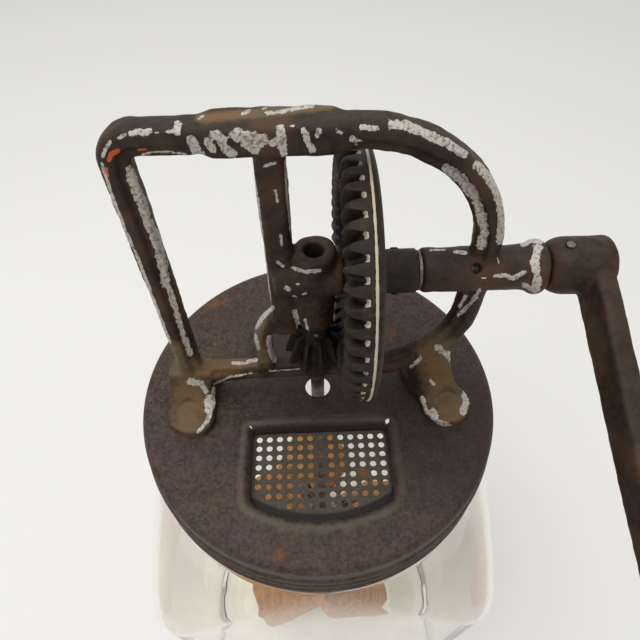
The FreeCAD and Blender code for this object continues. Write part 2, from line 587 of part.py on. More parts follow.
boss = new_sketch(frame, "boss", "YZ_Plane")
draw_path(boss, [
    ("0", BOSS_FOOT),
    ("dims.boss_radius - 0.8", BOSS_FOOT),
    ("dims.boss_radius", "dims.shaft_height - dims.tube_radius - 2.5"),
    ("dims.boss_radius", BOSS_TOP + " - 1", "1", 1),
    ("dims.boss_radius - 1", BOSS_TOP),
    ("0", BOSS_TOP),
])
revolve(frame, boss, "V_Axis")
stub = new_sketch(frame, "stub", shift=("0", "0", "dims.shaft_height"))
draw_path(stub, [
    ("0 - dims.post_place - 2", "0"),
    ("dims.stub_end", "0"),
    ("dims.stub_end", "dims.tube_radius"),
    ("0 - dims.post_place - 1", "dims.tube_radius"),
    ("0 - dims.post_place - 2", "dims.tube_radius - 1"),
])
revolve(frame, stub, "H_Axis")
tube = new_sketch(frame, "tube", shift=("0", "0", "dims.shaft_height"))
draw_path(tube, [
    ("dims.tube_start", "0"),
    ("dims.tube_end", "0"),
    ("dims.tube_end", "dims.ring_radius - 2.2", "2.6", 1),
    ("dims.tube_end - 4.6", "dims.ring_radius - 1", "12", -1),
    ("dims.tube_end - 9.5", "dims.tube_radius"),
    ("dims.tube_start", "dims.tube_radius"),
])
revolve(frame, tube, "H_Axis")
socket = new_sketch(frame, "socket", shift=("0", "0", FRAME_BASE))
draw_circle(socket, "0", "0", "dims.step_radius")
pad(frame, socket, "dims.bar_width / 2 + dims.step_rise")


def foot(name, side, place, root, height, width):
    """A foot with a round lobe at each end and a neck that slopes up to the bar."""
    x, base = "(%d * %s)" % (side, place), "(%d * %s)" % (side, root)
    reach = "(dims.foot_width / 2)"
    front, back = "(%s - dims.foot_front)" % reach, "(dims.foot_back - %s)" % reach
    for tail, spot_x, spot_y in (("_front", x, front), ("_back", base, back)):
        lobe = new_sketch(frame, name + tail)
        draw_circle(lobe, spot_x, spot_y, reach)
        pad(frame, lobe, "dims.foot_height")
    strip = new_sketch(frame, name + "_strip")
    draw_path(strip, [
        ("%s - %s * 0.98" % (x, reach), front),
        ("%s + %s * 0.98" % (x, reach), front),
        ("%s + %s * 0.98" % (base, reach), back),
        ("%s - %s * 0.98" % (base, reach), back),
    ])
    pad(frame, strip, "dims.foot_height")
    inner, deep = "(dims.bar_depth / 2 - 0.3)", "(dims.bar_depth / 2 + 1.2)"
    rise = "(%s - dims.foot_height)" % height
    broad = "(dims.foot_width * 0.97)"
    sections = []
    for tail, y, centre, wide, tall in (
            ("_low", front, x, broad, "dims.foot_height - 0.1"),
            ("_half", "(%s / 2 - %s / 2)" % (front, inner), "(%s / 2 + %s / 2)" % (x, base),
             "(%s / 2 + %s / 2)" % (broad, width), "dims.foot_height + dims.neck_sag * " + rise),
            ("_high", "(0 - %s)" % inner, base, width, height)):
        section = new_sketch(frame, name + tail, "XZ_Plane", shift=("0", "0", "0 - (%s)" % y))
        draw_rounded_box(section, "%s - %s / 2" % (centre, wide), "%s + %s / 2" % (centre, wide),
                         "0.5", tall, "1.2")
        sections.append(section)
    loft(frame, sections)
    slope = new_sketch(frame, name + "_slope", "YZ_Plane", shift=("0", "0", base))
    draw_path(slope, [
        ("0 - " + inner, "0.5"),
        (deep, "0.5"),
        (deep, "dims.foot_height - 0.4"),
        (inner, height + " - 0.1"),
        ("0 - " + inner, height + " - 0.1"),
    ])
    pad(frame, slope, width + " - 0.4", middle=True)


foot("foot_left", -1, "dims.foot_place", "dims.foot_root_left",
     "(%s + dims.foot_neck)" % FRAME_BASE, "dims.neck_left")
foot("foot_right", 1, "dims.foot_place", "dims.foot_root_right",
     "(%s + dims.foot_neck + dims.foot_neck_rise)" % FRAME_BASE, "dims.neck_right")

shaft_bore = new_sketch(frame, "shaft_bore", "YZ_Plane", shift=("0", "0", "0 - dims.boss_radius - 2"))
draw_circle(shaft_bore, "0", "dims.shaft_height", SHAFT_BORE)
pad(frame, shaft_bore, "dims.tube_end + dims.boss_radius + 6", reverse=True, kind="Pocket")
rod_bore = new_sketch(frame, "rod_bore", shift=("0", "0", FRAME_BASE + " - 8"))
draw_circle(rod_bore, "0", "0", ROD_BORE)
pad(frame, rod_bore, ROD_TOP + " + 0.4 - " + FRAME_BASE + " + 8", reverse=True, kind="Pocket")
well = new_sketch(frame, "oil_well", shift=("0", "0", BOSS_TOP + " + 1"))
draw_circle(well, "0", "0", "dims.oil_well_radius")
pad(frame, well, BOSS_TOP + " + 1 - dims.shaft_height", kind="Pocket")
oil = new_sketch(frame, "oil_hole", shift=("0", "0", "dims.shaft_height"),
                 turn=Rotation(Vector(1, 0, 0), 45))
draw_circle(oil, "dims.oil_hole_place", "0", "dims.oil_hole_radius")
pad(frame, oil, "12", reverse=True, kind="Pocket")
seats = new_sketch(frame, "rivet_seats", shift=("0", "0", "dims.foot_height"))
for x, y in RIVETS:
    draw_circle(seats, x, y, "dims.rivet_head + dims.rivet_room")
pad(frame, seats, "dims.foot_neck_rise", reverse=True, kind="Pocket")
frame_holes = new_sketch(frame, "frame_rivet_holes", shift=("0", "0", "-1"))
for x, y in RIVETS:
    draw_circle(frame_holes, x, y, "dims.rivet_radius + dims.seat_gap")
pad(frame, frame_holes, "dims.foot_height + 4", reverse=True, kind="Pocket")

# Rivets that hold the frame's feet to the lid

frame_rivets = new_body("frame_rivets", z=LID_TOP)
frame_rivets.AllowCompound = True
RIVET_FOOT = "(0 - dims.lid_sheet - dims.rivet_head_height)"
for name, low, high, radius in (
        ("shanks", RIVET_FOOT, "dims.foot_height + dims.rivet_head_height", "dims.rivet_radius"),
        ("heads", "dims.foot_height", "dims.foot_height + dims.rivet_head_height", "dims.rivet_head"),
        ("tails", RIVET_FOOT, "0 - dims.lid_sheet", "dims.rivet_head")):
    spots = new_sketch(frame_rivets, "rivet_" + name, shift=("0", "0", low))
    for x, y in RIVETS:
        draw_circle(spots, x, y, radius)
    last = pad(frame_rivets, spots, "%s - %s" % (high, low))
RIVET_ENDS = (number("dims.foot_height + dims.rivet_head_height"), number(RIVET_FOOT))
soften(frame_rivets, last, "dims.rivet_head_height * 0.8",
       lambda edge: any(lies_at(edge, "Z", end) for end in RIVET_ENDS))

# Crank gear: bevel teeth whose sides all run towards the crossing of the two axes

GEAR_SLOPE = "(1 / dims.gear_pitch_radius)"
GEAR_TIP = "(%s - dims.gear_addendum * %s)" % (PINION_PITCH, MODULE)
TIP_SLOPE = "(%s / dims.gear_pitch_radius)" % GEAR_TIP
GEAR_BACK = "(dims.tube_start - dims.washer_sheet - 2 * dims.side_gap)"
WEB_FACE = "(dims.gear_rim_back - 2.5)"

gear_wheel = new_body("gear_wheel", z=SHAFT_LEVEL)
blank = new_sketch(gear_wheel, "blank", "XZ_Plane")
draw_path(blank, [
    ("dims.stub_end + dims.side_gap", "dims.shaft_radius + dims.seat_gap"),
    (GEAR_BACK, "dims.shaft_radius + dims.seat_gap"),
    (GEAR_BACK, "dims.gear_hub_radius"),
    (WEB_FACE + " + dims.gear_web + 2.5", "dims.gear_hub_radius", "2.5", -1),
    (WEB_FACE + " + dims.gear_web", "dims.gear_hub_radius + 2.5"),
    (WEB_FACE + " + dims.gear_web", GEAR_RADIUS + " * 0.55", "60", 1),
    ("dims.gear_rim_back", GEAR_RADIUS + " - 0.8", "0.9", 1),
    ("dims.gear_rim_back - 1.6", GEAR_RADIUS + " - 0.25"),
    ("dims.gear_rim_back - 1.6", GEAR_RADIUS + " - 0.4"),
    ("%s * %s" % (TIP_SLOPE, GEAR_RADIUS), GEAR_RADIUS),
    ("%s * %s" % (TIP_SLOPE, GEAR_INNER), GEAR_INNER),
    (WEB_FACE, GEAR_INNER + " - 1.5"),
    (WEB_FACE, "dims.gear_hub_radius + 1", "1", 1),
    (WEB_FACE + " - 1", "dims.gear_hub_radius"),
    ("dims.stub_end + dims.side_gap", "dims.gear_hub_radius"),
])
revolve(gear_wheel, blank, "H_Axis")


def gear_gap(name, radius):
    """The gap between two teeth in the plane at one distance from the apex."""
    k = "(%s * %s)" % (radius, GEAR_SLOPE)
    half_gap = "((pi - dims.gear_tooth) / 2 * %s)" % MODULE
    open_half = "(%s + dims.gear_flank * %s)" % (half_gap, MODULE)
    side = "((dims.gear_addendum ^ 2 + dims.gear_flank ^ 2) / (2 * dims.gear_flank) * %s)" % MODULE
    pitch, tip = PINION_PITCH, GEAR_TIP
    floor = "(%s + dims.gear_dedendum * %s - %s)" % (PINION_PITCH, MODULE, half_gap)
    sketch = new_sketch(gear_wheel, name, shift=("0", "0", "0 - %s" % radius))
    draw_path(sketch, [
        ("(%s - 2) * %s" % (tip, k), "0 - (%s + 0.25) * %s" % (open_half, k)),
        ("%s * %s" % (tip, k), "0 - %s * %s" % (open_half, k), "%s * %s" % (side, k), 1),
        ("%s * %s" % (pitch, k), "0 - %s * %s" % (half_gap, k)),
        ("%s * %s" % (floor, k), "0 - %s * %s" % (half_gap, k), "%s * %s * 1.0001" % (half_gap, k), 1),
        ("%s * %s" % (floor, k), "%s * %s" % (half_gap, k)),
        ("%s * %s" % (pitch, k), "%s * %s" % (half_gap, k), "%s * %s" % (side, k), 1),
        ("%s * %s" % (tip, k), "%s * %s" % (open_half, k)),
        ("(%s - 2) * %s" % (tip, k), "(%s + 0.25) * %s" % (open_half, k)),
    ])
    return sketch


gap = loft(gear_wheel, [gear_gap("gap_inner", "(%s - 2)" % GEAR_INNER),
                        gear_gap("gap_outer", "(%s + 2)" % GEAR_RADIUS)], "SubtractiveLoft", True)
polar(gear_wheel, gap, "X_Axis", "dims.gear_teeth")
GEAR_PIN_PLACE = "(dims.gear_rim_back + 9)"
DIAGONAL = Rotation(Vector(1, 0, 0), -45)
drilled = new_sketch(gear_wheel, "gear_pin_hole", turn=DIAGONAL)
draw_circle(drilled, GEAR_PIN_PLACE, "0", "dims.gear_pin_radius + dims.seat_gap")
pad(gear_wheel, drilled, "4 * dims.gear_hub_radius", middle=True, kind="Pocket")

# Crank shaft with the two cross pins and a spacing washer

CRANK_PIN_PLACE = "(dims.crank_start + dims.arm_offset / 2 - 0.4)"
crank_shaft = new_body("crank_shaft", z=SHAFT_LEVEL)
rod_line = new_sketch(crank_shaft, "shaft_outline", "XZ_Plane")
draw_path(rod_line, [
    ("0 - dims.boss_radius - 1.7", "0"),
    ("dims.crank_start + dims.crank_hub_length + 0.6", "0"),
    ("dims.crank_start + dims.crank_hub_length + 0.6", "dims.shaft_radius - 0.6"),
    ("dims.crank_start + dims.crank_hub_length", "dims.shaft_radius"),
    ("0 - dims.boss_radius - 1.1", "dims.shaft_radius"),
    ("0 - dims.boss_radius - 1.7", "dims.shaft_radius - 0.6"),
])
revolve(crank_shaft, rod_line, "H_Axis")
for name, place, turn in (("shaft_gear_hole", GEAR_PIN_PLACE, DIAGONAL),
                          ("shaft_crank_hole", CRANK_PIN_PLACE, Rotation())):
    hole = new_sketch(crank_shaft, name, turn=turn)
    draw_circle(hole, place, "0", "dims.gear_pin_radius + dims.seat_gap")
    pad(crank_shaft, hole, "4 * dims.shaft_radius", middle=True, kind="Pocket")


def cross_pin(name, x, z, turn, radius, length):
    """A straight pin with chamfered ends, centred on the axis it crosses."""
    body = new_body(name, x, "0", z, turn)
    circle = new_sketch(body, name + "_circle")
    draw_circle(circle, "0", "0", radius)
    stem = pad(body, circle, length, middle=True)
    ends = number(length) / 2
    soften(body, stem, "%s * 0.3" % radius, lambda edge: edge.Curve.TypeId == "Part::GeomCircle"
           and abs(abs(edge.BoundBox.Center.z) - ends) < 1e-3, "Chamfer")


cross_pin("gear_pin", GEAR_PIN_PLACE, SHAFT_LEVEL, DIAGONAL, "dims.gear_pin_radius",
          "2 * dims.gear_hub_radius + 0.8")
cross_pin("crank_pin", CRANK_PIN_PLACE, SHAFT_LEVEL, Rotation(), "dims.gear_pin_radius",
          "2 * dims.crank_hub_radius + 0.6")


def washer(name, place, turn, bore, radius, thickness):
    """A flat washer whose near face is at its body's origin."""
    body = new_body(name, place[0], place[1], place[2], turn)
    section = new_sketch(body, name + "_section", "XZ_Plane")
    draw_path(section, [
        (bore, "0"), (radius, "0"), (radius, thickness), (bore, thickness)])
    revolve(body, section, "V_Axis")


ALONG_X = Rotation(Vector(0, 1, 0), 90)
washer("spacer_washer", ("%s + dims.side_gap" % GEAR_BACK, "0", SHAFT_LEVEL), ALONG_X,
       SHAFT_BORE, "dims.gear_hub_radius - 0.6", "dims.washer_sheet")

# Crank arm, in a frame whose Y axis points from the shaft to the knob

AT_REST = Rotation(Vector(1, 0, 0), number("dims.crank_rest_angle"))
crank_arm = new_body("crank_arm", z=SHAFT_LEVEL, turn=AT_REST)
blade = new_sketch(crank_arm, "crank_blade", "YZ_Plane", shift=("0", "0", ARM_INNER))
draw_path(blade, [
    ("0", "0 - dims.arm_root / 2"),
    ("dims.crank_throw", "0 - dims.arm_tip / 2"),
    ("dims.crank_throw", "dims.arm_tip / 2"),
    ("0", "dims.arm_root / 2"),
])
flat = pad(crank_arm, blade, "dims.arm_sheet")
flat = soften(crank_arm, flat, "1.6", lambda edge: edge.Length > number("dims.crank_throw") * 0.7)
hub = new_sketch(crank_arm, "crank_hub", "XZ_Plane")
END = "(dims.crank_start + dims.crank_hub_length)"
draw_path(hub, [
    ("dims.crank_start", "0"),
    (END, "0"),
    (END, "dims.crank_hub_radius - 1.6", "1.6", 1),
    (END + " - 1.6", "dims.crank_hub_radius"),
    ("dims.crank_start + 5", "dims.crank_hub_radius", "8", 1),
    ("dims.crank_start", "dims.crank_hub_radius - 2.2"),
])
revolve(crank_arm, hub, "H_Axis")
eye = new_sketch(crank_arm, "crank_eye", "YZ_Plane", shift=("0", "0", ARM_INNER))
draw_circle(eye, "dims.crank_throw", "0", "dims.arm_eye_radius")
pad(crank_arm, eye, "dims.arm_sheet")
crank_bore = new_sketch(crank_arm, "crank_bore", "YZ_Plane", shift=("0", "0", "dims.crank_start - 1"))
draw_circle(crank_bore, "0", "0", "dims.shaft_radius + dims.seat_gap")
pad(crank_arm, crank_bore, "dims.crank_hub_length + 4", reverse=True, kind="Pocket")
eye_bore = new_sketch(crank_arm, "eye_bore", "YZ_Plane", shift=("0", "0", "dims.crank_start - 1"))
draw_circle(eye_bore, "dims.crank_throw", "0", "dims.spindle_radius + dims.seat_gap")
pad(crank_arm, eye_bore, "dims.crank_hub_length + 4", reverse=True, kind="Pocket")
pinned = new_sketch(crank_arm, "crank_pin_hole",
                    turn=Rotation(Vector(1, 0, 0), 0 - number("dims.crank_rest_angle")))
draw_circle(pinned, CRANK_PIN_PLACE, "0", "dims.gear_pin_radius + dims.seat_gap")
pad(crank_arm, pinned, "4 * dims.crank_hub_radius", middle=True, kind="Pocket")

# Knob, its spindle and its washer

KNOB_Y = "(dims.crank_throw * cos(dims.crank_rest_angle))"
KNOB_Z = "(%s + dims.crank_throw * sin(dims.crank_rest_angle))" % SHAFT_LEVEL
KNOB_START = "(%s + dims.washer_sheet + dims.side_gap)" % ARM_OUTER
KNOB_END = "(%s + dims.knob_length)" % KNOB_START
SPINDLE_LOW = "(%s - dims.spindle_head_height)" % ARM_INNER
SPINDLE_HIGH = "(%s + dims.side_gap)" % KNOB_END

knob_spindle = new_body("knob_spindle", "0", KNOB_Y, KNOB_Z)
turned = new_sketch(knob_spindle, "spindle_outline", "XZ_Plane")
HEAD_DOME = "((dims.spindle_head ^ 2 + dims.spindle_head_height ^ 2) / (2 * dims.spindle_head_height))"
draw_path(turned, [
    (SPINDLE_LOW, "0"),
    (SPINDLE_HIGH + " + dims.spindle_head_height", "0", HEAD_DOME, 1),
    (SPINDLE_HIGH, "dims.spindle_head"),
    (SPINDLE_HIGH, "dims.spindle_radius"),
    (ARM_INNER, "dims.spindle_radius"),
    (ARM_INNER, "dims.spindle_head", HEAD_DOME, 1),
])
revolve(knob_spindle, turned, "H_Axis")
washer("knob_washer", (ARM_OUTER, KNOB_Y, KNOB_Z), ALONG_X, "(dims.spindle_radius + dims.seat_gap)",
       "dims.arm_eye_radius - 0.6", "dims.washer_sheet")

crank_knob = new_body("crank_knob", KNOB_START, KNOB_Y, KNOB_Z)
wood = new_sketch(crank_knob, "knob_outline", "XZ_Plane")
KNOB_BORE = "(dims.spindle_radius + dims.running_gap)"
LENGTH = "dims.knob_length"
draw_path(wood, [
    ("0", KNOB_BORE),
    (LENGTH, KNOB_BORE),
    (LENGTH, "dims.knob_radius * 0.45", "dims.knob_radius * 0.62", 1),
    (LENGTH + " * 0.86", "dims.knob_radius * 0.84", LENGTH + " * 0.95", 1),
    (LENGTH + " * 0.14", "dims.knob_collar - 1.2"),
    (LENGTH + " * 0.09", "dims.knob_collar - 1.2", "1.8", 1),
    (LENGTH + " * 0.05", "dims.knob_collar", "1.8", 1),
    ("0", "dims.knob_collar - 1.6"),
])
revolve(crank_knob, wood, "H_Axis")

# Pinion: bevel teeth in the plan plane, running up towards the same crossing of axes

PINION_FOOT = "(%s + dims.washer_sheet + 0.1)" % STEP_TOP
PINION_LOW = "(dims.shaft_height - " + GEAR_RADIUS + " - 0.5)"
PINION_ROOT = "(%s - dims.pinion_dedendum * %s)" % (PINION_PITCH, MODULE)
ROOT_SLOPE = "(%s / dims.gear_pitch_radius)" % PINION_ROOT

pinion = new_body("pinion", z=LID_TOP)
core = new_sketch(pinion, "pinion_core", "XZ_Plane")
draw_path(core, [
    ("dims.rod_radius + dims.seat_gap", PINION_FOOT),
    ("%s * (dims.shaft_height - %s)" % (ROOT_SLOPE, PINION_LOW), PINION_FOOT),
    ("%s * (dims.shaft_height - %s)" % (ROOT_SLOPE, PINION_LOW), PINION_LOW),
    ("%s * (dims.shaft_height - %s)" % (ROOT_SLOPE, PINION_HIGH), PINION_HIGH),
    ("dims.pinion_hub_radius", PINION_HIGH),
    ("dims.pinion_hub_radius", PINION_TOP),
    ("dims.rod_radius + dims.seat_gap", PINION_TOP),
])
revolve(pinion, core, "V_Axis")


def pinion_tooth(name, level):
    """One tooth in the plane at a level, scaled by its distance from the apex."""
    k = "((dims.shaft_height - %s) / dims.gear_pitch_radius)" % level
    half_tooth = "(dims.pinion_tooth / 2 * %s)" % MODULE
    root = "(%s - 0.25 * %s)" % (PINION_ROOT, MODULE)
    tip = "(%s + dims.pinion_addendum * %s)" % (PINION_PITCH, MODULE)
    tip_half = "((dims.pinion_tooth / 2 - dims.pinion_flank) * %s)" % MODULE
    side = "((dims.pinion_addendum ^ 2 + dims.pinion_flank ^ 2) / (2 * dims.pinion_flank) * %s)" % MODULE
    root_half = "(%s * %s / %s)" % (half_tooth, root, PINION_PITCH)
    sketch = new_sketch(pinion, name, shift=("0", "0", level))
    draw_path(sketch, [
        ("%s * %s" % (root, k), "0 - %s * %s" % (root_half, k)),
        ("%s * %s" % (PINION_PITCH, k), "0 - %s * %s" % (half_tooth, k), "%s * %s" % (side, k), 1),
        ("%s * %s" % (tip, k), "0 - %s * %s" % (tip_half, k)),
        ("%s * %s" % (tip, k), "%s * %s" % (tip_half, k), "%s * %s" % (side, k), 1),
        ("%s * %s" % (PINION_PITCH, k), "%s * %s" % (half_tooth, k)),
        ("%s * %s" % (root, k), "%s * %s" % (root_half, k)),
    ])
    return sketch


tooth = loft(pinion, [pinion_tooth("tooth_low", PINION_LOW), pinion_tooth("tooth_high", PINION_HIGH)],
             ruled=True)
polar(pinion, tooth, "Z_Axis", "dims.pinion_teeth")
PIN_LEVEL = "(%s / 2 + %s / 2)" % (PINION_HIGH, PINION_TOP)
pin_hole = new_sketch(pinion, "pinion_pin_hole", "XZ_Plane")
draw_circle(pin_hole, "0", PIN_LEVEL, "dims.rod_pin_radius + dims.seat_gap")
pad(pinion, pin_hole, "4 * dims.pinion_hub_radius", middle=True, kind="Pocket")
ALONG_Y = Rotation(Vector(1, 0, 0), 90)
cross_pin("pinion_pin", "0", "%s + %s" % (LID_TOP, PIN_LEVEL), ALONG_Y, "dims.rod_pin_radius",
          "2 * dims.pinion_hub_radius + 0.5")
washer("thrust_washer", ("0", "0", "%s + %s" % (LID_TOP, STEP_TOP)), Rotation(), ROD_BORE,
       "dims.step_radius - 0.2", "dims.washer_sheet")

# Dasher rod, hub, paddles and their pins

DASHER_LEVEL = "(%s - dims.dasher_drop)" % LID_TOP
HUB_PIN_LEVEL = "(%s + dims.hub_length / 2 - 3.5)" % DASHER_LEVEL
dasher_rod = new_body("dasher_rod", z="%s + %s" % (LID_TOP, ROD_TOP))
rod_end = new_sketch(dasher_rod, "rod_circle")
draw_circle(rod_end, "0", "0", "dims.rod_radius")
stem = pad(dasher_rod, rod_end, "dims.rod_length", reverse=True)
soften(dasher_rod, stem, "0.5", lambda edge: lies_at(edge, "Z", 0.0)
       or lies_at(edge, "Z", 0 - number("dims.rod_length")), "Chamfer")
for name, level in (("rod_pinion_hole", "%s - %s" % (PIN_LEVEL, ROD_TOP)),
                    ("rod_hub_hole", "%s - %s - %s" % (HUB_PIN_LEVEL, LID_TOP, ROD_TOP))):
    hole = new_sketch(dasher_rod, name, "XZ_Plane")
    draw_circle(hole, "0", level, "dims.rod_pin_radius + dims.seat_gap")
    pad(dasher_rod, hole, "4 * dims.rod_radius", middle=True, kind="Pocket")


def leaned(azimuth):
    """The turn of a paddle: X outwards, Y up its slope, Z through its thickness."""
    lean = Rotation(Vector(1, 0, 0), number("dims.paddle_lean") - 90)
    return Rotation(Vector(0, 0, 1), azimuth) * lean


first = leaned(number("dims.paddle_azimuth"))
normal = first.multVec(Vector(0, 0, 1))


def off_board(distance):
    """A shift along the first paddle's normal, as three expressions."""
    return tuple("%.9f * (%s)" % (part, distance) for part in normal)


dasher_hub = new_body("dasher_hub", z=DASHER_LEVEL)
sleeve = new_sketch(dasher_hub, "sleeve")
draw_circle(sleeve, "0", "0", "dims.hub_radius")
pad(dasher_hub, sleeve, "dims.hub_length", middle=True)
ear = new_sketch(dasher_hub, "ear", shift=off_board("dims.paddle_sheet / 2"), turn=first)
draw_path(ear, [
    ("dims.hub_radius - 1.4", "0 - dims.ear_height / 2"),
    ("dims.ear_reach - 4", "0 - dims.ear_height / 2", "4", 1),
    ("dims.ear_reach", "4 - dims.ear_height / 2"),
    ("dims.ear_reach", "dims.ear_height / 2 - 4", "4", 1),
    ("dims.ear_reach - 4", "dims.ear_height / 2"),
    ("dims.hub_radius - 1.4", "dims.ear_height / 2"),
])
polar(dasher_hub, pad(dasher_hub, ear, "dims.ear_sheet"), "Z_Axis", "4")
hub_bore = new_sketch(dasher_hub, "hub_bore")
draw_circle(hub_bore, "0", "0", "dims.rod_radius + dims.seat_gap")
pad(dasher_hub, hub_bore, "dims.hub_length + 20", middle=True, kind="Pocket")
RIVET_SPOTS = [("dims.paddle_rivet_place", "%s dims.paddle_rivet_spread / 2" % sign)
               for sign in ("0 -", "0 +")]
ear_holes = new_sketch(dasher_hub, "ear_holes", turn=first)
for x, y in RIVET_SPOTS:
    draw_circle(ear_holes, x, y, "dims.paddle_rivet_radius + dims.seat_gap")
polar(dasher_hub, pad(dasher_hub, ear_holes, "14", middle=True, kind="Pocket"), "Z_Axis", "4")
crossed = new_sketch(dasher_hub, "hub_pin_hole", "XZ_Plane")
draw_circle(crossed, "0", "dims.hub_length / 2 - 3.5", "dims.rod_pin_radius + dims.seat_gap")
pad(dasher_hub, crossed, "4 * dims.hub_radius", middle=True, kind="Pocket")
cross_pin("hub_pin", "0", HUB_PIN_LEVEL, ALONG_Y, "dims.rod_pin_radius", "2 * dims.hub_radius + 0.5")

for index in range(4):
    turn = leaned(number("dims.paddle_azimuth") + 90 * index)
    name = "paddle_%d" % (index + 1)
    board = new_body(name, z=DASHER_LEVEL, turn=turn)
    face = new_sketch(board, name + "_face")
    inner, outer = "dims.paddle_inner", "dims.paddle_outer"
    tall, bend = "(dims.paddle_height / 2)", "dims.paddle_corner"
    draw_path(face, [
        (inner, "0 - " + tall),
        ("%s - %s" % (outer, bend), "0 - " + tall, bend, 1),
        (outer, "%s - %s" % (bend, tall)),
        (outer, "%s - %s" % (tall, bend), bend, 1),
        ("%s - %s" % (outer, bend), tall),
        (inner, tall),
    ])
    pad(board, face, "dims.paddle_sheet", middle=True)
    holes = new_sketch(board, name + "_holes")
    for x, y in RIVET_SPOTS:
        draw_circle(holes, x, y, "dims.paddle_rivet_radius + dims.seat_gap")
    pad(board, holes, "dims.paddle_sheet + 4", middle=True, kind="Pocket")

paddle_rivets = new_body("paddle_rivets", z=DASHER_LEVEL)
paddle_rivets.AllowCompound = True
BACK = "(0 - dims.paddle_sheet / 2)"
FRONT = "(dims.paddle_sheet / 2 + dims.ear_sheet)"
for name, low, high, radius in (
        ("stems", BACK, FRONT, "dims.paddle_rivet_radius"),
        ("near", FRONT, FRONT + " + 1", "dims.paddle_rivet_head"),
        ("far", BACK + " - 1", BACK, "dims.paddle_rivet_head")):
    spots = new_sketch(paddle_rivets, "board_" + name, shift=off_board(low), turn=first)
    for x, y in RIVET_SPOTS:
        draw_circle(spots, x, y, radius)
    polar(paddle_rivets, pad(paddle_rivets, spots, "%s - (%s)" % (high, low)), "Z_Axis", "4")

# Checks and export

NODES = ("jar", "lid", "vent_screen", "frame", "frame_rivets", "gear_wheel", "gear_pin",
         "crank_shaft", "spacer_washer", "crank_arm", "crank_pin", "knob_spindle", "crank_knob",
         "knob_washer", "pinion", "pinion_pin", "thrust_washer", "dasher_rod", "dasher_hub",
         "hub_pin", "paddle_1", "paddle_2", "paddle_3", "paddle_4", "paddle_rivets")
doc.recompute()
wrong = [item.Name for item in doc.Objects if set(item.State) & {"Invalid", "Error"}]
if wrong:
    raise RuntimeError("these did not rebuild: " + ", ".join(wrong))
os.makedirs("parts", exist_ok=True)
for node in NODES:
    shape = doc.getObject(node).Shape
    if shape.isNull() or not shape.isValid():
        raise RuntimeError("this shape isn't valid: " + node)
    shape.exportStep("parts/%s.step" % node)
    box = shape.BoundBox
    print("%-14s %2d solids %9.1f mm3  x %6.1f %6.1f  y %6.1f %6.1f  z %6.1f %6.1f" % (
        node, len(shape.Solids), shape.Volume, box.XMin, box.XMax, box.YMin, box.YMax,
        box.ZMin, box.ZMax))
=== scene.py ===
# %% [markdown]
# A hand cranked glass butter churn. A square glass jar stands on its foot. A pressed steel lid closes
# its round neck and carries a cast frame with a bevel gear, a pinion, a crank and a wooden dasher.
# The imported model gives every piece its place, so this script adds only the looks: it loads that
# model, replaces the pieces whose surface needs more shape, and gives each of them a finish.

# %% Load the frame
import math

import bmesh
import bpy
import numpy as np
from mathutils import Matrix


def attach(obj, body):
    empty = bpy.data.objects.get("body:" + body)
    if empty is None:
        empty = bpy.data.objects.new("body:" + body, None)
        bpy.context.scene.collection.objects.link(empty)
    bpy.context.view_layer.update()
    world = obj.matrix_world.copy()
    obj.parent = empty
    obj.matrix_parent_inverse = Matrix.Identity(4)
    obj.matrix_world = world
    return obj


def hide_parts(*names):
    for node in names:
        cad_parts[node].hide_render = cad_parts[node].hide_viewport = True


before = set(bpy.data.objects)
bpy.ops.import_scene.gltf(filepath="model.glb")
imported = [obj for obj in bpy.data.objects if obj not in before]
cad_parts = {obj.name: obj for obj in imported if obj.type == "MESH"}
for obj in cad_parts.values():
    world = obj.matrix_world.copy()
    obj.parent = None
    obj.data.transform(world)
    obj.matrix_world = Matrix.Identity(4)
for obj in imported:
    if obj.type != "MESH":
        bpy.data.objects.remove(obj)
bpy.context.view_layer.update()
MM = 0.001

# %% [markdown]
# The lid's top face is the level from which the whole mechanism is measured, and the crank shaft's
# axis crosses the dasher rod's axis at one point, the apex of both bevel gears. Naming the levels
# first keeps every later formula short. Sizes stay in millimetres until a mesh is made.

# %% Levels that pieces share
LID_TOP = 236.0
SHAFT_LEVEL = LID_TOP + 62.6
APEX = np.array((0.0, 0.0, SHAFT_LEVEL))
print("the gears' apex is at", APEX)

# %% [markdown]
# The camera looks down on the lid from the side with the vent, through a wide lens. Its place and
# its three turns were worked out from the lid's round edge and the rows of vent holes. They give the
# picture's own axes, which also tell where any point of the object lands in the picture.

# %% Camera
PICTURE = 640.0
FOCAL_PIXELS = 520.0
SENSOR = 36.0
CAMERA_PLACE = np.array((-0.8, -104.1, LID_TOP + 171.0))
CAMERA_YAW, CAMERA_PITCH, CAMERA_ROLL = (math.radians(a) for a in (-1.17, 51.27, 1.05))


def camera_axes():
    """The picture's right and down and the direction of view, from yaw, pitch and roll."""
    cos_yaw, sin_yaw = math.cos(CAMERA_YAW), math.sin(CAMERA_YAW)
    cos_pitch, sin_pitch = math.cos(CAMERA_PITCH), math.sin(CAMERA_PITCH)
    ahead = np.array((-sin_yaw * cos_pitch, cos_yaw * cos_pitch, -sin_pitch))
    level = np.array((cos_yaw, sin_yaw, 0.0))
    below = np.cross(ahead, level)
    cos_roll, sin_roll = math.cos(CAMERA_ROLL), math.sin(CAMERA_ROLL)
    return level * cos_roll + below * sin_roll, below * cos_roll - level * sin_roll, ahead


RIGHT, DOWN, AHEAD = camera_axes()


def to_picture(points):
    """Where points in millimetres land in the picture, in pixels from its upper left corner."""
    away = points - CAMERA_PLACE
    depth = away @ AHEAD
    return np.stack([away @ RIGHT / depth, away @ DOWN / depth], axis=-1) * FOCAL_PIXELS + PICTURE / 2


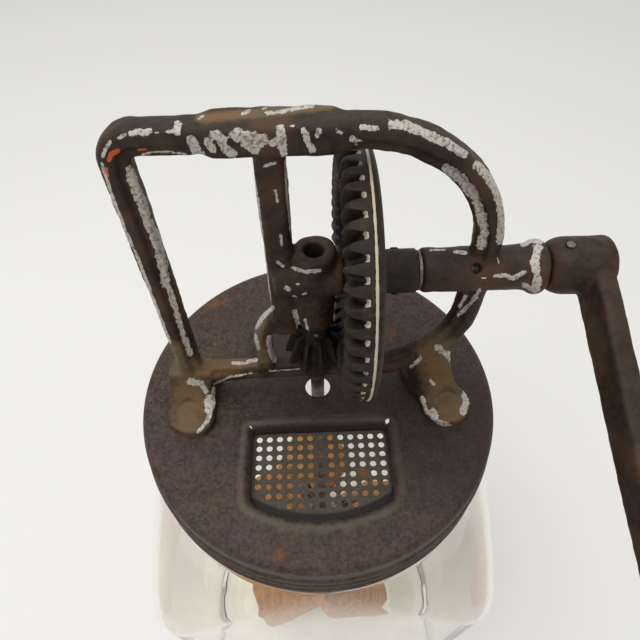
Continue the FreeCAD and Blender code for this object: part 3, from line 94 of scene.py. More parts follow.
def put(name, data, axes=None):
    """Adds an object; axes are its right, its up, its back and its place in metres."""
    made = bpy.data.objects.new(name, data)
    bpy.context.scene.collection.objects.link(made)
    if axes is not None:
        made.matrix_world = Matrix(np.vstack([np.stack(axes, axis=1), (0, 0, 0, 1)]).tolist())
    return made


lens = bpy.data.cameras.new("camera")
lens.sensor_width = SENSOR
lens.lens = FOCAL_PIXELS / PICTURE * SENSOR
lens.clip_start = 0.01
bpy.context.scene.camera = put("camera", lens, (RIGHT, -DOWN, -AHEAD, CAMERA_PLACE * MM))
print("lens", round(lens.lens, 2), "mm; the apex lands at pixel", np.round(to_picture(APEX)))

# %% [markdown]
# Shader maths is easier to read as sums than as boxes and wires. The class Value wraps one output of
# a node, and a sum or product of two adds the Math node that does it. The class Finish holds one
# material, and its method node adds any node. Colours are written as they look on a screen.

# %% Shader helpers


def hue(red, green, blue):
    """A screen colour, 0 to 255 each, as the linear light that a shader works with."""
    screen = np.array((red, green, blue)) / 255
    light = np.where(screen <= 0.04045, screen / 12.92, ((screen + 0.055) / 1.055) ** 2.4)
    return (*light.tolist(), 1.0)


class Value:
    """A node's output that takes part in Python sums, on either side of the sign."""

    def __init__(self, finish, socket):
        self.finish, self.socket = finish, socket

    def math(self, operation, first, second):
        return self.finish.node("Math", {"operation": operation}, {0: first, 1: second})

    def at_least(self, other):
        return self.math("MAXIMUM", self, other)

    def rise(self, low, high):
        """0 below low, 1 above high, and a smooth step between them."""
        return self.finish.node("MapRange", {"interpolation_type": "SMOOTHSTEP"},
                                {"Value": self, "From Min": low, "From Max": high})


for sign, operation in (("add", "ADD"), ("sub", "SUBTRACT"), ("mul", "MULTIPLY"), ("truediv", "DIVIDE")):
    setattr(Value, "__%s__" % sign, lambda self, other, kind=operation: self.math(kind, self, other))
    setattr(Value, "__r%s__" % sign, lambda self, other, kind=operation: self.math(kind, other, self))


class Finish:
    """One material, or the world, and the nodes in it."""

    def __init__(self, name, world=None):
        self.material = world or bpy.data.materials.new(name)
        self.material.use_nodes = True
        self.tree = self.material.node_tree
        self.tree.nodes.clear()

    def node(self, kind, settings=None, sockets=None, out=0):
        """Adds a node: its type, its settings, and a number, colour or Value for each socket."""
        made = self.tree.nodes.new("ShaderNode" + kind)
        for name, value in (settings or {}).items():
            setattr(made, name, value)
        for key, value in (sockets or {}).items():
            if isinstance(value, Value):
                self.tree.links.new(value.socket, made.inputs[key])
            else:
                made.inputs[key].default_value = value
        return Value(self, made.outputs[out] if made.outputs else None)

    def place(self, stretch=(1.0, 1.0, 1.0)):
        """The surface's point in the object's own frame, in metres, stretched."""
        return self.node("Mapping", {"vector_type": "TEXTURE"}, {
            "Vector": self.node("TexCoord", out=3), "Scale": [1 / s for s in stretch]})

    def noise(self, grain, detail=4.0, rough=0.55, vector=None, warp=0.0):
        """Soft random values about 0.5, with blots about grain millimetres across."""
        return self.node("TexNoise", sockets={
            "Vector": vector or self.place(), "Scale": 1 / (grain * MM), "Detail": detail,
            "Roughness": rough, "Distortion": warp})

    def attribute(self, name):
        """A value that each vertex of the mesh carries."""
        return self.node("Attribute", {"attribute_name": name}, out=2)

    def blend(self, factor, first, second):
        """The first colour where factor is 0 and the second where it is 1."""
        return self.node("Mix", {"data_type": "RGBA"}, {0: factor, 6: first, 7: second}, out=2)

    def relief(self, height, depth):
        """A normal that follows a height from 0 to 1 over a depth in millimetres."""
        return self.node("Bump", sockets={"Height": height, "Distance": depth * MM})

    def surface(self, **sockets):
        """A Principled shader whose sockets are named with _ for a space."""
        return self.node("BsdfPrincipled", sockets={
            key.replace("_", " "): value for key, value in sockets.items()})

    def close(self, shader=None, **sockets):
        """Joins a shader, or else a Principled one, to the output and hands the material over."""
        self.node("OutputMaterial", sockets={"Surface": shader or self.surface(**sockets)})
        return self.material


print("a mid grey of 128 is", round(hue(128, 128, 128)[0], 3), "in light")

# %% [markdown]
# Every new piece is a surface worked out on a grid: one parameter runs along a profile and the other
# round it, so a piece is one array of points. The helpers below join neighbours by four-sided faces,
# close poles with a fan of triangles, and turn the faces outwards by the sign of the volume inside.

# %% Mesh helpers


def grid_faces(rows, columns, loop):
    """Four-sided faces of a grid whose columns close on themselves, and whose rows do if loop is true."""
    row, column = np.meshgrid(np.arange(rows if loop else rows - 1), np.arange(columns), indexing="ij")
    below, after = (row + 1) % rows, (column + 1) % columns
    corners = (row * columns + column, row * columns + after, below * columns + after,
               below * columns + column)
    return np.stack([corner.ravel() for corner in corners], axis=1)


def enclosed(points, triangles):
    """The volume inside triangles: a sixth of the sum of each one's corner a . (b x c)."""
    first, second, third = (points[triangles[:, k]] for k in range(3))
    return np.einsum("ij,ij->", first, np.cross(second, third)) / 6


def make_piece(name, points, quads, fans=None, sharp=45.0, flip=None):
    """A mesh object from points in millimetres, with faces that point outwards."""
    fans = np.zeros((0, 3), int) if fans is None else fans
    split = np.vstack([quads[:, (0, 1, 2)], quads[:, (0, 2, 3)], fans])
    if enclosed(points, split) < 0 if flip is None else flip:
        quads, fans = quads[:, ::-1], fans[:, ::-1]
    mesh = bpy.data.meshes.new(name)
    mesh.from_pydata((points * MM).tolist(), [], quads.tolist() + fans.tolist())
    mesh.update()
    mesh.shade_smooth()
    mesh.set_sharp_from_angle(angle=math.radians(sharp))
    return put(name, mesh)


def wrapped(name, grid, loop=False, poles=(), sharp=45.0, flip=None):
    """A piece from a grid of points whose rows are rings; a pole closes the first or last ring."""
    rows, columns = grid.shape[:2]
    points, fans = grid.reshape(-1, 3), []
    for pole in poles:
        ring = (0 if pole == "first" else (rows - 1) * columns) + np.arange(columns)
        centre = np.full(columns, len(points))
        points = np.vstack([points, points[ring].mean(axis=0)])
        after = np.roll(ring, -1)
        fan = (centre, after, ring) if pole == "first" else (ring, after, centre)
        fans.append(np.stack(fan, axis=1))
    faces = grid_faces(rows, columns, loop)
    return make_piece(name, points, faces, np.vstack(fans) if fans else None, sharp, flip)


def dress(piece, material, body, slot, *nodes):
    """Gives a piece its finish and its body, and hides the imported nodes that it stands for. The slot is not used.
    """
    piece.data.materials.clear()
    piece.data.materials.append(material)
    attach(piece, body)
    if nodes:
        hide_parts(*nodes)
    print(piece.name, "has", len(piece.data.polygons), "faces")


def paint(material, *nodes):
    """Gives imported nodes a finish; their meshes stay as they are."""
    for node in nodes:
        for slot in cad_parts[node].material_slots:
            slot.material = material


def read(items, name, width=3, kind=np.float32):
    """One property of all vertices or edges of a mesh, as the rows of an array."""
    flat = np.zeros(len(items) * width, kind)
    items.foreach_get(name, flat)
    return flat.reshape(-1, width)


def vertex_points(piece):
    """A piece's vertices in millimetres, as an array."""
    return read(piece.data.vertices, "co").astype(float) / MM


def add_attribute(piece, name, values):
    """Stores one number for each vertex of a piece."""
    made = piece.data.attributes.new(name, "FLOAT", "POINT")
    made.data.foreach_set("value", np.asarray(values, np.float32))


def waves(points, length, seed):
    """Slow unevenness from -1 to 1: a mean of sines whose waves run in seeded random directions."""
    random = np.random.default_rng(seed)
    count = 9
    way = random.normal(size=(count, 3))
    way *= (2 * math.pi / length / random.uniform(0.7, 1.6, count) / np.linalg.norm(way, axis=1))[:, None]
    return np.sin(points @ way.T + random.uniform(0, 2 * math.pi, count)).sum(axis=-1) / math.sqrt(count)


def ease(share):
    """A smooth step: three squares less two cubes of a share held between 0 and 1."""
    share = np.clip(share, 0, 1)
    return share * share * (3 - 2 * share)


def turns(count):
    """Angles at even steps round a full turn."""
    return np.linspace(0, 2 * math.pi, count, endpoint=False)


def circle(count):
    """Points at even steps round a circle of radius 1."""
    return np.stack([np.cos(turns(count)), np.sin(turns(count))], axis=-1)


def arc(count, first=0.0, last=90.0):
    """Rows of the sine and the cosine of angles at even steps, in degrees."""
    angle = np.radians(np.linspace(first, last, count))
    return np.stack([np.sin(angle), np.cos(angle)], axis=1)


print("a grid of 3 by 4 points has", len(grid_faces(3, 4, False)), "faces")

# %% [markdown]
# The jar is pressed glass, square at the foot and round at the neck. Any section is a square with
# round corners, whose radius grows until the square has become a circle. So one formula gives the
# reach in any direction for a half width and a corner radius, and the jar is that ring carried up
# the outside, over the rim and down the inside. Pressed glass is never quite flat, least of all at
# its sides, which slow waves of a tenth or two stand for.

# %% Jar
JAR_HALF, JAR_HEIGHT = 70.4, 235.0
JAR_CORNER = 13.0
JAR_WALL, JAR_FLOOR, JAR_HEEL, INNER_HEEL = 3.2, 7.0, 11.0, 13.0
LIGHT_DROP = 1.15 * JAR_WALL
NECK_RADIUS, NECK_HEIGHT, SHOULDER_HEIGHT, SHOULDER_WIDE = 61.5, 24.0, 44.3, 7.9
BEAD_RADIUS, BEAD_ROUND, RIM_ROUND = 66.3, 2.3, 1.4
JAR_TOP = JAR_HEIGHT - NECK_HEIGHT
JAR_COLUMNS = 256


def square_reach(turn, half, corner):
    """How far a rounded square reaches in a direction.

    The ray meets the flat side at half / cos, or past its end the corner's circle, by the usual
    root of a quadratic.
    """
    folded = np.abs((turn + math.pi / 4) % (math.pi / 2) - math.pi / 4)
    cosine, sine = np.cos(folded), np.sin(folded)
    flat = half - corner
    along = flat * (cosine + sine)
    round_part = along + np.sqrt(np.maximum(along ** 2 - 2 * flat ** 2 + corner ** 2, 0))
    return np.where(sine * half <= flat * cosine, half / cosine, round_part)


def shoulder_rows(inwards, downwards):
    """Rings from the square wall up to the round neck, moved inwards and downwards.

    Half width and level follow the first seventy degrees of an ellipse. The corner's radius grows
    with the height until the ring is a circle, after a soft start. The inner face is the outer one
    moved the way that steep light takes through the wall, further down near the neck. So light
    enters and leaves through parallel faces, and what stands behind them isn't bent.
    """
    sine, cosine = arc(18, 0, 70).T
    half = JAR_HALF - SHOULDER_WIDE * (1 - cosine)
    share = sine / sine[-1]
    grown = (share - 0.05 * (1 - np.exp(-share / 0.05))) / 0.95
    corner = JAR_CORNER + (half[-1] * 0.999 - JAR_CORNER) * grown
    level = JAR_TOP - SHOULDER_HEIGHT * (1 - sine) - downwards * (1 + 0.4 * share)
    return np.stack([half - inwards, corner - inwards, level], axis=1).tolist()


def jar_profile():
    """Half width, corner radius and level of each ring, up the outside and down the inside."""
    flat, small = JAR_HALF - JAR_HEEL, JAR_CORNER - JAR_HEEL
    rows = [(share * flat, share * small, 0.9 - 0.9 * ease(share * 4 - 3))
            for share in (0.02, 0.3, 0.6, 0.78, 0.9, 0.97)]
    rows += [(JAR_HALF - JAR_HEEL * (1 - s), JAR_CORNER - JAR_HEEL * (1 - s), JAR_HEEL * (1 - c))
             for s, c in arc(6)]
    rows += [(JAR_HALF, JAR_CORNER, level)
             for level in np.linspace(JAR_HEEL, JAR_TOP - SHOULDER_HEIGHT, 34)[1:]]
    rows += shoulder_rows(0.0, 0.0)[1:]
    neck = [(BEAD_RADIUS - BEAD_ROUND * (1 - c), JAR_TOP + 0.5 + BEAD_ROUND * s)
            for s, c in arc(9, -60, 90)]
    neck += [(NECK_RADIUS + 0.4, JAR_TOP + 3.4), (NECK_RADIUS, JAR_TOP + 4.6)]
    neck += [(NECK_RADIUS + thread, JAR_TOP + level)
             for level, thread in zip(range(8, 13), (0, 1.05, 1.5, 1.05, 0))]
    rim = [(RIM_ROUND * (1 - c), JAR_HEIGHT - RIM_ROUND * (1 - s)) for s, c in arc(5)]
    bore = NECK_RADIUS - JAR_WALL
    neck += [(NECK_RADIUS - inset, level) for inset, level in rim]
    neck += [(bore + inset, level) for inset, level in rim[::-1]]
    neck += [(bore, level) for level in np.linspace(JAR_HEIGHT - RIM_ROUND, JAR_TOP + 1, 5)[1:]]
    shoulder = shoulder_rows(JAR_WALL, LIGHT_DROP)
    neck += [(bore + 1.1, shoulder[-1][2] + 2.4), (bore + 2.8, shoulder[-1][2] + 0.9)]
    rows += [(radius, radius, level) for radius, level in neck]
    rows += shoulder[::-1]
    half, corner, bend = JAR_HALF - JAR_WALL, JAR_CORNER - JAR_WALL, INNER_HEEL * 0.7
    rows += [(half, corner, level) for level in np.linspace(shoulder[0][2], JAR_FLOOR + INNER_HEEL, 28)[1:]]
    rows += [(half - INNER_HEEL * (1 - c), corner - bend * (1 - c), JAR_FLOOR + INNER_HEEL * (1 - s))
             for s, c in arc(6)[1:]]
    rows += [(share * (half - INNER_HEEL), share * (corner - bend), JAR_FLOOR - 0.4 * (1 - share))
             for share in (0.8, 0.5, 0.2, 0.02)]
    return np.array(rows)


def make_jar():
    half, corner, level = jar_profile().T[:, :, None]
    turn = turns(JAR_COLUMNS)[None, :]
    reach = square_reach(turn, half, corner)
    grid = np.stack([reach * np.cos(turn), reach * np.sin(turn), level + 0 * turn], axis=-1)
    upright = ease((level - 10) / 20) * ease((JAR_TOP - level) / 12)
    flank = ease((np.abs(grid[..., 0]) - 46) / 12)
    swell = (0.04 + 0.16 * flank) * waves(grid * (1, 1, 0.25), 26, 4) * upright
    grid[..., :2] *= 1 + (swell / np.maximum(reach, 1))[..., None]
    return wrapped("glass_jar", grid, poles=("first", "last"), sharp=80)


glass_jar = make_jar()
corner_reach = square_reach(math.pi / 4, JAR_HALF, JAR_CORNER)
print("jar", JAR_COLUMNS, "points round; corner reach", round(float(corner_reach), 1))

# %% [markdown]
# Clear glass bends light, so it needs a real wall with two surfaces, which the jar has. Lamps can't
# see through bent glass, so the shader lets shadow rays straight through, a little dimmed, and the
# floor inside the jar stays bright.

# %% Glass


def clear_glass():
    glass = Finish("clear pressed glass")
    ripples = glass.noise(11, 2, vector=glass.place((1, 1, 0.2)))
    body = glass.surface(Base_Color=hue(251, 249, 244), Roughness=0.01, IOR=1.5, Transmission_Weight=1.0,
                         Normal=glass.relief(ripples, 0.05))
    open_way = glass.node("BsdfTransparent", sockets={"Color": hue(244, 243, 240)})
    shadow = glass.node("LightPath", out=1)
    return glass.close(glass.node("MixShader", sockets={0: shadow, 1: body, 2: open_way}))


dress(glass_jar, clear_glass(), "jar_body", "jar_glass", "jar")

# %% [markdown]
# The lid is pressed from one sheet of steel: a flat disc, a recess for the vent screen with a raised
# border, and a skirt with two rolled beads and a curled edge. Every column of the grid is a ray from
# the middle of the recess to a point of the round edge, so one grid follows both outlines, and
# Solidify gives the sheet its thickness. The recess's outline is the nearest of two sides, a straight
# back and an arc in front, and a high power mean of them rounds its corners.

# %% Lid
LID_RADIUS, LID_SHEET, LID_SKIRT = 65.0, 0.9, 20.0
LID_ROUND = 2.2
VENT_MIDDLE = np.array((0.0, -31.0))
VENT_HALF, VENT_BACK, VENT_FRONT = 25.0, -15.8, 50.4
VENT_DEPTH, VENT_LIP_HEIGHT = 4.0, 0.9
ROD_HOLE = 4.75
PINHOLES = (((-24.9, -15.9), 0.45), ((24.9, -15.7), 0.8))
CORNER_POWER = 18
LID_COLUMNS = 448


def vent_reach(way, grow):
    """How far the recess reaches from its middle along directions, when it is widened by grow."""
    side = (VENT_HALF + grow) / np.maximum(np.abs(way[..., 0]), 1e-6)
    back = (VENT_BACK + grow - VENT_MIDDLE[1]) / np.maximum(way[..., 1], 1e-6)
    front = circle_reach(way, VENT_FRONT + grow)
    return ((1 / side) ** CORNER_POWER + (1 / back) ** CORNER_POWER
            + (1 / front) ** CORNER_POWER) ** (-1 / CORNER_POWER)


def circle_reach(way, radius):
    """How far a circle round the lid's axis lies from the middle of the recess along directions."""
    along = way @ VENT_MIDDLE
    return np.sqrt(along ** 2 - VENT_MIDDLE @ VENT_MIDDLE + radius ** 2) - along


def lid_rows(way):
    """Reach from the middle of the recess, and level, of each ring of the sheet."""
    rows = [(vent_reach(way, grow), level) for grow, level in (
        (0.0, -VENT_DEPTH), (0.0, -3.0), (0.0, -2.0), (0.02, -1.2), (0.1, -0.6), (0.3, -0.05), (0.6, 0.4),
        (1.0, 0.75), (1.5, VENT_LIP_HEIGHT), (2.0, 0.85), (2.6, 0.6), (3.2, 0.25), (3.8, 0.06), (4.3, 0.0))]
    start, edge = vent_reach(way, 4.3), circle_reach(way, LID_RADIUS - LID_ROUND - 0.6)
    for share in np.linspace(0, 1, 76)[1:]:
        rows.append((start + share * (edge - start), 0.0))
    rows += [(circle_reach(way, LID_RADIUS - LID_ROUND * (1 - s)), -LID_ROUND * (1 - c)) for s, c in arc(7)]
    for level in np.linspace(-2.6, 1.4 - LID_SKIRT, 52):
        bead = max(bump(level, 0.70 * LID_SKIRT), bump(level, 0.45 * LID_SKIRT))
        rows.append((circle_reach(way, LID_RADIUS + 0.85 * bead), level))
    return rows + [(circle_reach(way, LID_RADIUS - 0.25 + 1.15 * c), 0.6 - LID_SKIRT + 1.15 * s)
                   for s, c in arc(14, 60, -190)]


def bump(level, depth):
    """The height of a rolled bead: half a wave of cosine, 3.4 mm wide, about its own depth."""
    return math.cos(min(abs(level + depth) / 1.7, 1) * math.pi) / 2 + 0.5


def make_lid():
    way = circle(LID_COLUMNS) * LID_RADIUS - VENT_MIDDLE
    way /= np.linalg.norm(way, axis=1)[:, None]
    rows = lid_rows(way)
    flat = np.stack([VENT_MIDDLE + way * reach[:, None] for reach, level in rows])
    level = np.array([level for reach, level in rows])[:, None] + 0 * flat[..., 0]
    grid = np.dstack([flat, level + LID_TOP])
    away = np.linalg.norm(flat, axis=-1)
    dents = 0.14 * waves(grid, 24, 11) * ease((LID_RADIUS - 4 - away) / 8)
    dents *= ease((np.linalg.norm(flat - VENT_MIDDLE, axis=-1) - 32) / 12)
    grid[..., 2] += np.minimum(dents, 0)
    faces = grid_faces(len(rows), LID_COLUMNS, False)
    points = grid.reshape(-1, 3)
    reach = np.hypot(points[:, 0], points[:, 1])
    cut = (reach[faces].mean(axis=1) < ROD_HOLE) & (points[faces, 2].mean(axis=1) > LID_TOP - 2)
    border = np.intersect1d(faces[cut], faces[~cut])
    points[border, :2] *= (ROD_HOLE / reach[border])[:, None]
    for spot, size in PINHOLES:
        cut |= np.linalg.norm(points[faces, :2].mean(axis=1) - spot, axis=1) < size
    used, new = np.unique(faces[~cut], return_inverse=True)
    lid = make_piece("pressed_lid", points[used], new.reshape(-1, 4), sharp=50, flip=False)
    thick = lid.modifiers.new("sheet", "SOLIDIFY")
    thick.thickness = LID_SHEET * MM
    thick.offset = -1
    return lid


pressed_lid = make_lid()
normal_up = np.mean([face.normal.z for face in pressed_lid.data.polygons])
print("lid", LID_COLUMNS, "points round; mean normal up", round(float(normal_up), 2))

# %% [markdown]
# The lid's lacquer is a dark purple brown that has gone dull and mottled: specks of a millimetre,
# blots of a few, and slow clouds that turn it browner. Rust comes through in a few places. Soot and
# painted shade darken it round the gears and under the frame, where the frame shades the lid, and the
# recess's raised lip is rubbed and carries a painted highlight. These are attributes of the mesh.

# %% Lid lacquer
RUST_SPOTS = ((-43, 44, 11, 1), (30, 24, 10, 1), (-14, -60, 5, 1))
# Soot and painted shade on the lid: x, y, reach and strength of each darker spot round the gears and under the
# frame.
SOOT_AND_SHADE_SPOTS = ((10, -12, 46, 0.75), (52, -20, 40, 0.8), (-12, 14, 17, 1.3), (45, 20, 30, 0.4))


def lid_lacquer():
    lacquer = Finish("mottled lid lacquer")
    specks = lacquer.noise(1.3, 6, 0.75)
    blots = lacquer.noise(4.5, 5, 0.65)
    clouds = lacquer.noise(16, 4, 0.6)
    dark = lacquer.blend(blots.rise(0.38, 0.62), hue(36, 24, 24), hue(42, 31, 23))
    light = lacquer.blend(clouds.rise(0.35, 0.65), hue(76, 56, 48), hue(80, 63, 47))
    colour = lacquer.blend((specks * 0.7 + blots * 0.3).rise(0.38, 0.62), dark, light)
    colour = lacquer.blend((specks + clouds).rise(1.16, 1.3) * 0.5, colour, hue(100, 84, 68))
    # The raised lip's lighter grey ring is partly rubbed lacquer and partly a painted highlight.
    lip_wear_and_highlight = (lacquer.attribute("lip_wear_and_highlight") * 0.9 + blots * 1.2 + specks * 0.5 - 0.85).rise(0.2, 0.9)
    colour = lacquer.blend(lip_wear_and_highlight * 0.6, colour, hue(90, 82, 70))
    rust = lacquer.attribute("rust") * 0.8 + lacquer.noise(4, 6, 0.7) - 0.5
    rusty = lacquer.blend(specks.rise(0.3, 0.7), hue(76, 46, 28), hue(118, 74, 40))
    colour = lacquer.blend(rust.rise(0.4, 1.0), colour, rusty)
    # Soot and painted shade: darker round the gears and under the frame, which shades the lid.
    soot_and_shade = (lacquer.attribute("soot_and_shade") + clouds * 0.5 - 0.25).rise(0.0, 1.0)
    colour = lacquer.blend(soot_and_shade * 0.7, colour, hue(26, 19, 15))
    dull = 0.42 + 0.2 * clouds + 0.12 * specks
    return lacquer.close(Base_Color=colour, Roughness=dull, Metallic=0.0, Specular_IOR_Level=0.28,
                         Normal=lacquer.relief(specks * 0.6 + blots * 0.4, 0.15))


lid_points = vertex_points(pressed_lid)
for name, flat_share, lowest, spots in (("rust", 1.0, 0.0, RUST_SPOTS),
                                        ("soot_and_shade", 1.3, LID_TOP - 5, SOOT_AND_SHADE_SPOTS)):
    near = [most * ease(flat_share - np.hypot(lid_points[:, 0] - x, lid_points[:, 1] - y) / reach)
            for x, y, reach, most in spots]
    add_attribute(pressed_lid, name, np.max(near, axis=0) * (lid_points[:, 2] > lowest))
spread = lid_points[:, :2] - VENT_MIDDLE
reach = np.linalg.norm(spread, axis=1)
beyond = reach - vent_reach(spread / reach[:, None], 0.0)
# Rubbed lacquer and a painted highlight along the recess's raised lip.
add_attribute(pressed_lid, "lip_wear_and_highlight", np.exp(-((beyond - 2.2) / 1.3) ** 2) * (lid_points[:, 2] > LID_TOP - 3))
dress(pressed_lid, lid_lacquer(), "lid_top", "lid_steel", "lid")

# %% [markdown]
# The screen in the recess is a strip of perforated sheet with eight rows of thirteen holes, fewer
# in front, where the recess is round. One cell is a square with a round hole: sixteen rays run from
# the square's edge to the hole, down its wall and back under the sheet. The same cell, moved, makes
# the whole screen, and a flat border carries it to the recess's wall. One hole is clogged, and the
# front of the sheet, in shade under the recess's edge, gets a dark crescent of painted shade.

# %% Vent screen
HOLE_STEP = np.array((3.67, 3.49))
HOLE_FIRST = np.array((0.2, -18.87))
HOLE_RADIUS, HOLE_BEVEL, SCREEN_SHEET, SCREEN_OVERLAP = 1.1, 0.25, 0.6, 1.8
HOLE_ROWS = (13, 13, 13, 13, 13, 13, 11, 7)
CLOGGED = (4, 10)
CRESCENT_RADIUS = 46.3


def make_screen():
    """Cells of the perforated sheet: a ray at angle t meets the square at 1 / max(|cos t|, |sin t|)."""
    way = circle(16)
    square = way / np.abs(way).max(axis=1)[:, None] * HOLE_STEP / 2
    row, column = np.meshgrid(np.arange(8), np.arange(13), indexing="ij")
    bored = np.abs(column - 6) * 2 < np.array(HOLE_ROWS)[row]
    bored &= (row != CLOGGED[0]) | (column != CLOGGED[1])
    middle = HOLE_FIRST + np.stack([column - 6, -row], axis=-1) * HOLE_STEP
    radius = np.where(bored, HOLE_RADIUS, 0.02)[..., None, None]
    bevel = np.where(bored, HOLE_BEVEL, 0.02)[..., None, None]
    rings = [square + 0 * radius, way * (radius + bevel), way * radius]
    rings += rings[::-1]
    drops = (0, 0, 0.15, SCREEN_SHEET - 0.15, SCREEN_SHEET, SCREEN_SHEET)
    level = LID_TOP - VENT_DEPTH
    cells = [np.concatenate([ring + middle[:, :, None, :], np.full((8, 13, 16, 1), level - drop)], axis=-1)
             for ring, drop in zip(rings, drops)]
    cells = np.stack(cells, axis=2)
    count = cells.shape[0] * cells.shape[1]
    quads = grid_faces(6, 16, False)[None] + (np.arange(count) * 96)[:, None, None]
    border_way = circle(240)
    half = HOLE_STEP * (6.5, 4) - 0.2
    inner = np.min(half / np.maximum(np.abs(border_way), 1e-6), axis=1)
    outer = vent_reach(border_way, SCREEN_OVERLAP)
    ring_middle = HOLE_FIRST - (0, 3.5 * HOLE_STEP[1])
    inside, outside = (ring_middle, inner), (VENT_MIDDLE, outer)
    drops = np.array((0.01, 0.01, SCREEN_SHEET - 0.01, SCREEN_SHEET - 0.01))
    border = [np.column_stack([centre + border_way * reach[:, None], 0 * reach + level - drop])
              for (centre, reach), drop in zip((inside, outside, outside, inside), drops)]
    points = np.vstack([cells.reshape(-1, 3), *border])
    faces = np.vstack([quads.reshape(-1, 4), grid_faces(4, len(border_way), True) + count * 96])
    return make_piece("vent_sheet", points, faces[:, ::-1], sharp=30)


def screen_finish():
    """Dull olive sheet, with painted shade near the recess's front and rust round the clogged hole."""
    sheet = Finish("dull perforated sheet")
    specks, blots = sheet.noise(0.9, 5, 0.7), sheet.noise(5, 4, 0.6)
    colour = sheet.blend(specks.rise(0.3, 0.7), hue(54, 48, 41), hue(84, 77, 66))
    colour = sheet.blend(blots.rise(0.45, 0.65), colour, hue(66, 60, 46))
    clogged = HOLE_FIRST + (CLOGGED[1] - 6, -CLOGGED[0]) * HOLE_STEP
    near = sheet.node("VectorMath", {"operation": "DISTANCE"}, {
        0: sheet.place(), 1: (clogged[0] * MM, clogged[1] * MM, (LID_TOP - VENT_DEPTH) * MM)}, out=1)
    smear = (near * 1000 + blots * 3).rise(2.2, 4.2)
    colour = sheet.blend(smear, hue(104, 66, 38), colour)
    radius = sheet.node("VectorMath", {"operation": "LENGTH"}, {0: sheet.place((1, 1, 0.001))}, out=1)
    # Painted shade: a dark crescent where the recess's front wall shades the sheet.
    shade = (radius * 1000).rise(CRESCENT_RADIUS - 0.7, CRESCENT_RADIUS + 0.5)
    colour = sheet.blend(shade, colour, hue(20, 17, 14))
    return sheet.close(Base_Color=colour, Roughness=0.5 + 0.2 * specks, Metallic=0.1,
                       Specular_IOR_Level=0.3, Normal=sheet.relief(specks, 0.1))


vent_sheet = make_screen()
dress(vent_sheet, screen_finish(), "lid_top", "lid_steel", "vent_screen")

# %% [markdown]
# The frame and the crank arm are iron castings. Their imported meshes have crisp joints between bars,
# while a casting flows from one bar into the next. A copy of the mesh is merged, remeshed into small
# even cubes and smoothed, which rounds every inner corner. Slow waves give the skin of a sand mould.

# %% Castings
CASTING_GRAIN = 0.55
BASE_BAR, ARCH_REACH, ARCH_RISE = LID_TOP + 14.9, 38, 3.0
FOOT_SWELLS = (((-46.9, -11.0), (1.8, -1.2)), ((46.9, -11.0), (-1.0, -0.5)))


def edge_wear(piece):
    """How far each vertex stands out from a smoothed surface, 1 on a sharp outer edge.

    Each of the six rounds of smoothing puts every vertex on the mean of its neighbours.
    """
    points, pairs = vertex_points(piece), read(piece.data.edges, "vertices", 2, np.int32)
    near, far = np.vstack([pairs, pairs[:, ::-1]]).T
    smooth = points
    for turn in range(6):
        total = np.zeros_like(points)
        np.add.at(total, near, smooth[far])
        smooth = total / np.bincount(near)[:, None]
    out = np.einsum("ij,ij->i", points - smooth, read(piece.data.vertices, "normal"))
    return out / (CASTING_GRAIN * 0.6)


def arch_bar(points):
    """The base bar is thinner between the feet, where its lower half rises."""
    x, y, level = points.T
    span = ease((x + ARCH_REACH) / 30) * ease((ARCH_REACH - x) / 16)
    lower = ease((BASE_BAR - level) / 3) * (level > BASE_BAR - 5.4) * (np.abs(y) < 5.5)
    points[:, 2] += ARCH_RISE * span * lower


def widen_feet(points):
    """Each foot's round end swells a little towards one side, more the straighter it points there."""
    for middle, extra in FOOT_SWELLS:
        away = points[:, :2] - middle
        reach = np.linalg.norm(away, axis=1)
        share = np.maximum(away @ extra / np.maximum(reach, 1) / np.linalg.norm(extra), 0)
        near = ease((13 - reach) / 3) * ease(reach / 8) * ease((-3 - points[:, 1]) / 4)
        near *= ease((LID_TOP + 7 - points[:, 2]) / 1.5)
        points[:, :2] += np.array(extra) * (near * share)[:, None]


def cast_piece(nodes, name, *reshapes):
    """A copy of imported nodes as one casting: merged, remeshed, smoothed and made slightly uneven."""
    mesh, loose = bpy.data.meshes.new(name), bmesh.new()
    for node in nodes:
        loose.from_mesh(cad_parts[node].data)
    bmesh.ops.remove_doubles(loose, verts=loose.verts, dist=0.002 * MM)
    loose.to_mesh(mesh)
    loose.free()
    piece = put(name, mesh)
    cubes = piece.modifiers.new("cubes", "REMESH")
    cubes.mode = "VOXEL"
    cubes.voxel_size = CASTING_GRAIN * MM
    soft = piece.modifiers.new("soft", "SMOOTH")
    soft.factor, soft.iterations = 0.5, 10
    bpy.context.view_layer.update()
    made = bpy.data.meshes.new_from_object(piece.evaluated_get(bpy.context.evaluated_depsgraph_get()))
    piece.modifiers.clear()
    piece.data = made
    points, normals = vertex_points(piece), read(piece.data.vertices, "normal")
    for reshape in reshapes:
        reshape(points)
    uneven = 0.10 * waves(points, 9, 3) + 0.05 * waves(points, 3.2, 5)
    points += normals * uneven[:, None]
    piece.data.vertices.foreach_set("co", (points * MM).astype(np.float32).ravel())
    piece.data.update()
    piece.data.shade_smooth()
    add_attribute(piece, "edge", edge_wear(piece))
    return piece


cast_frame = cast_piece(("frame", "frame_rivets"), "cast_frame", arch_bar, widen_feet)
crank_casting = cast_piece(("crank_arm",), "crank_casting")
print("frame", len(cast_frame.data.polygons), "faces; crank", len(crank_casting.data.polygons), "faces")
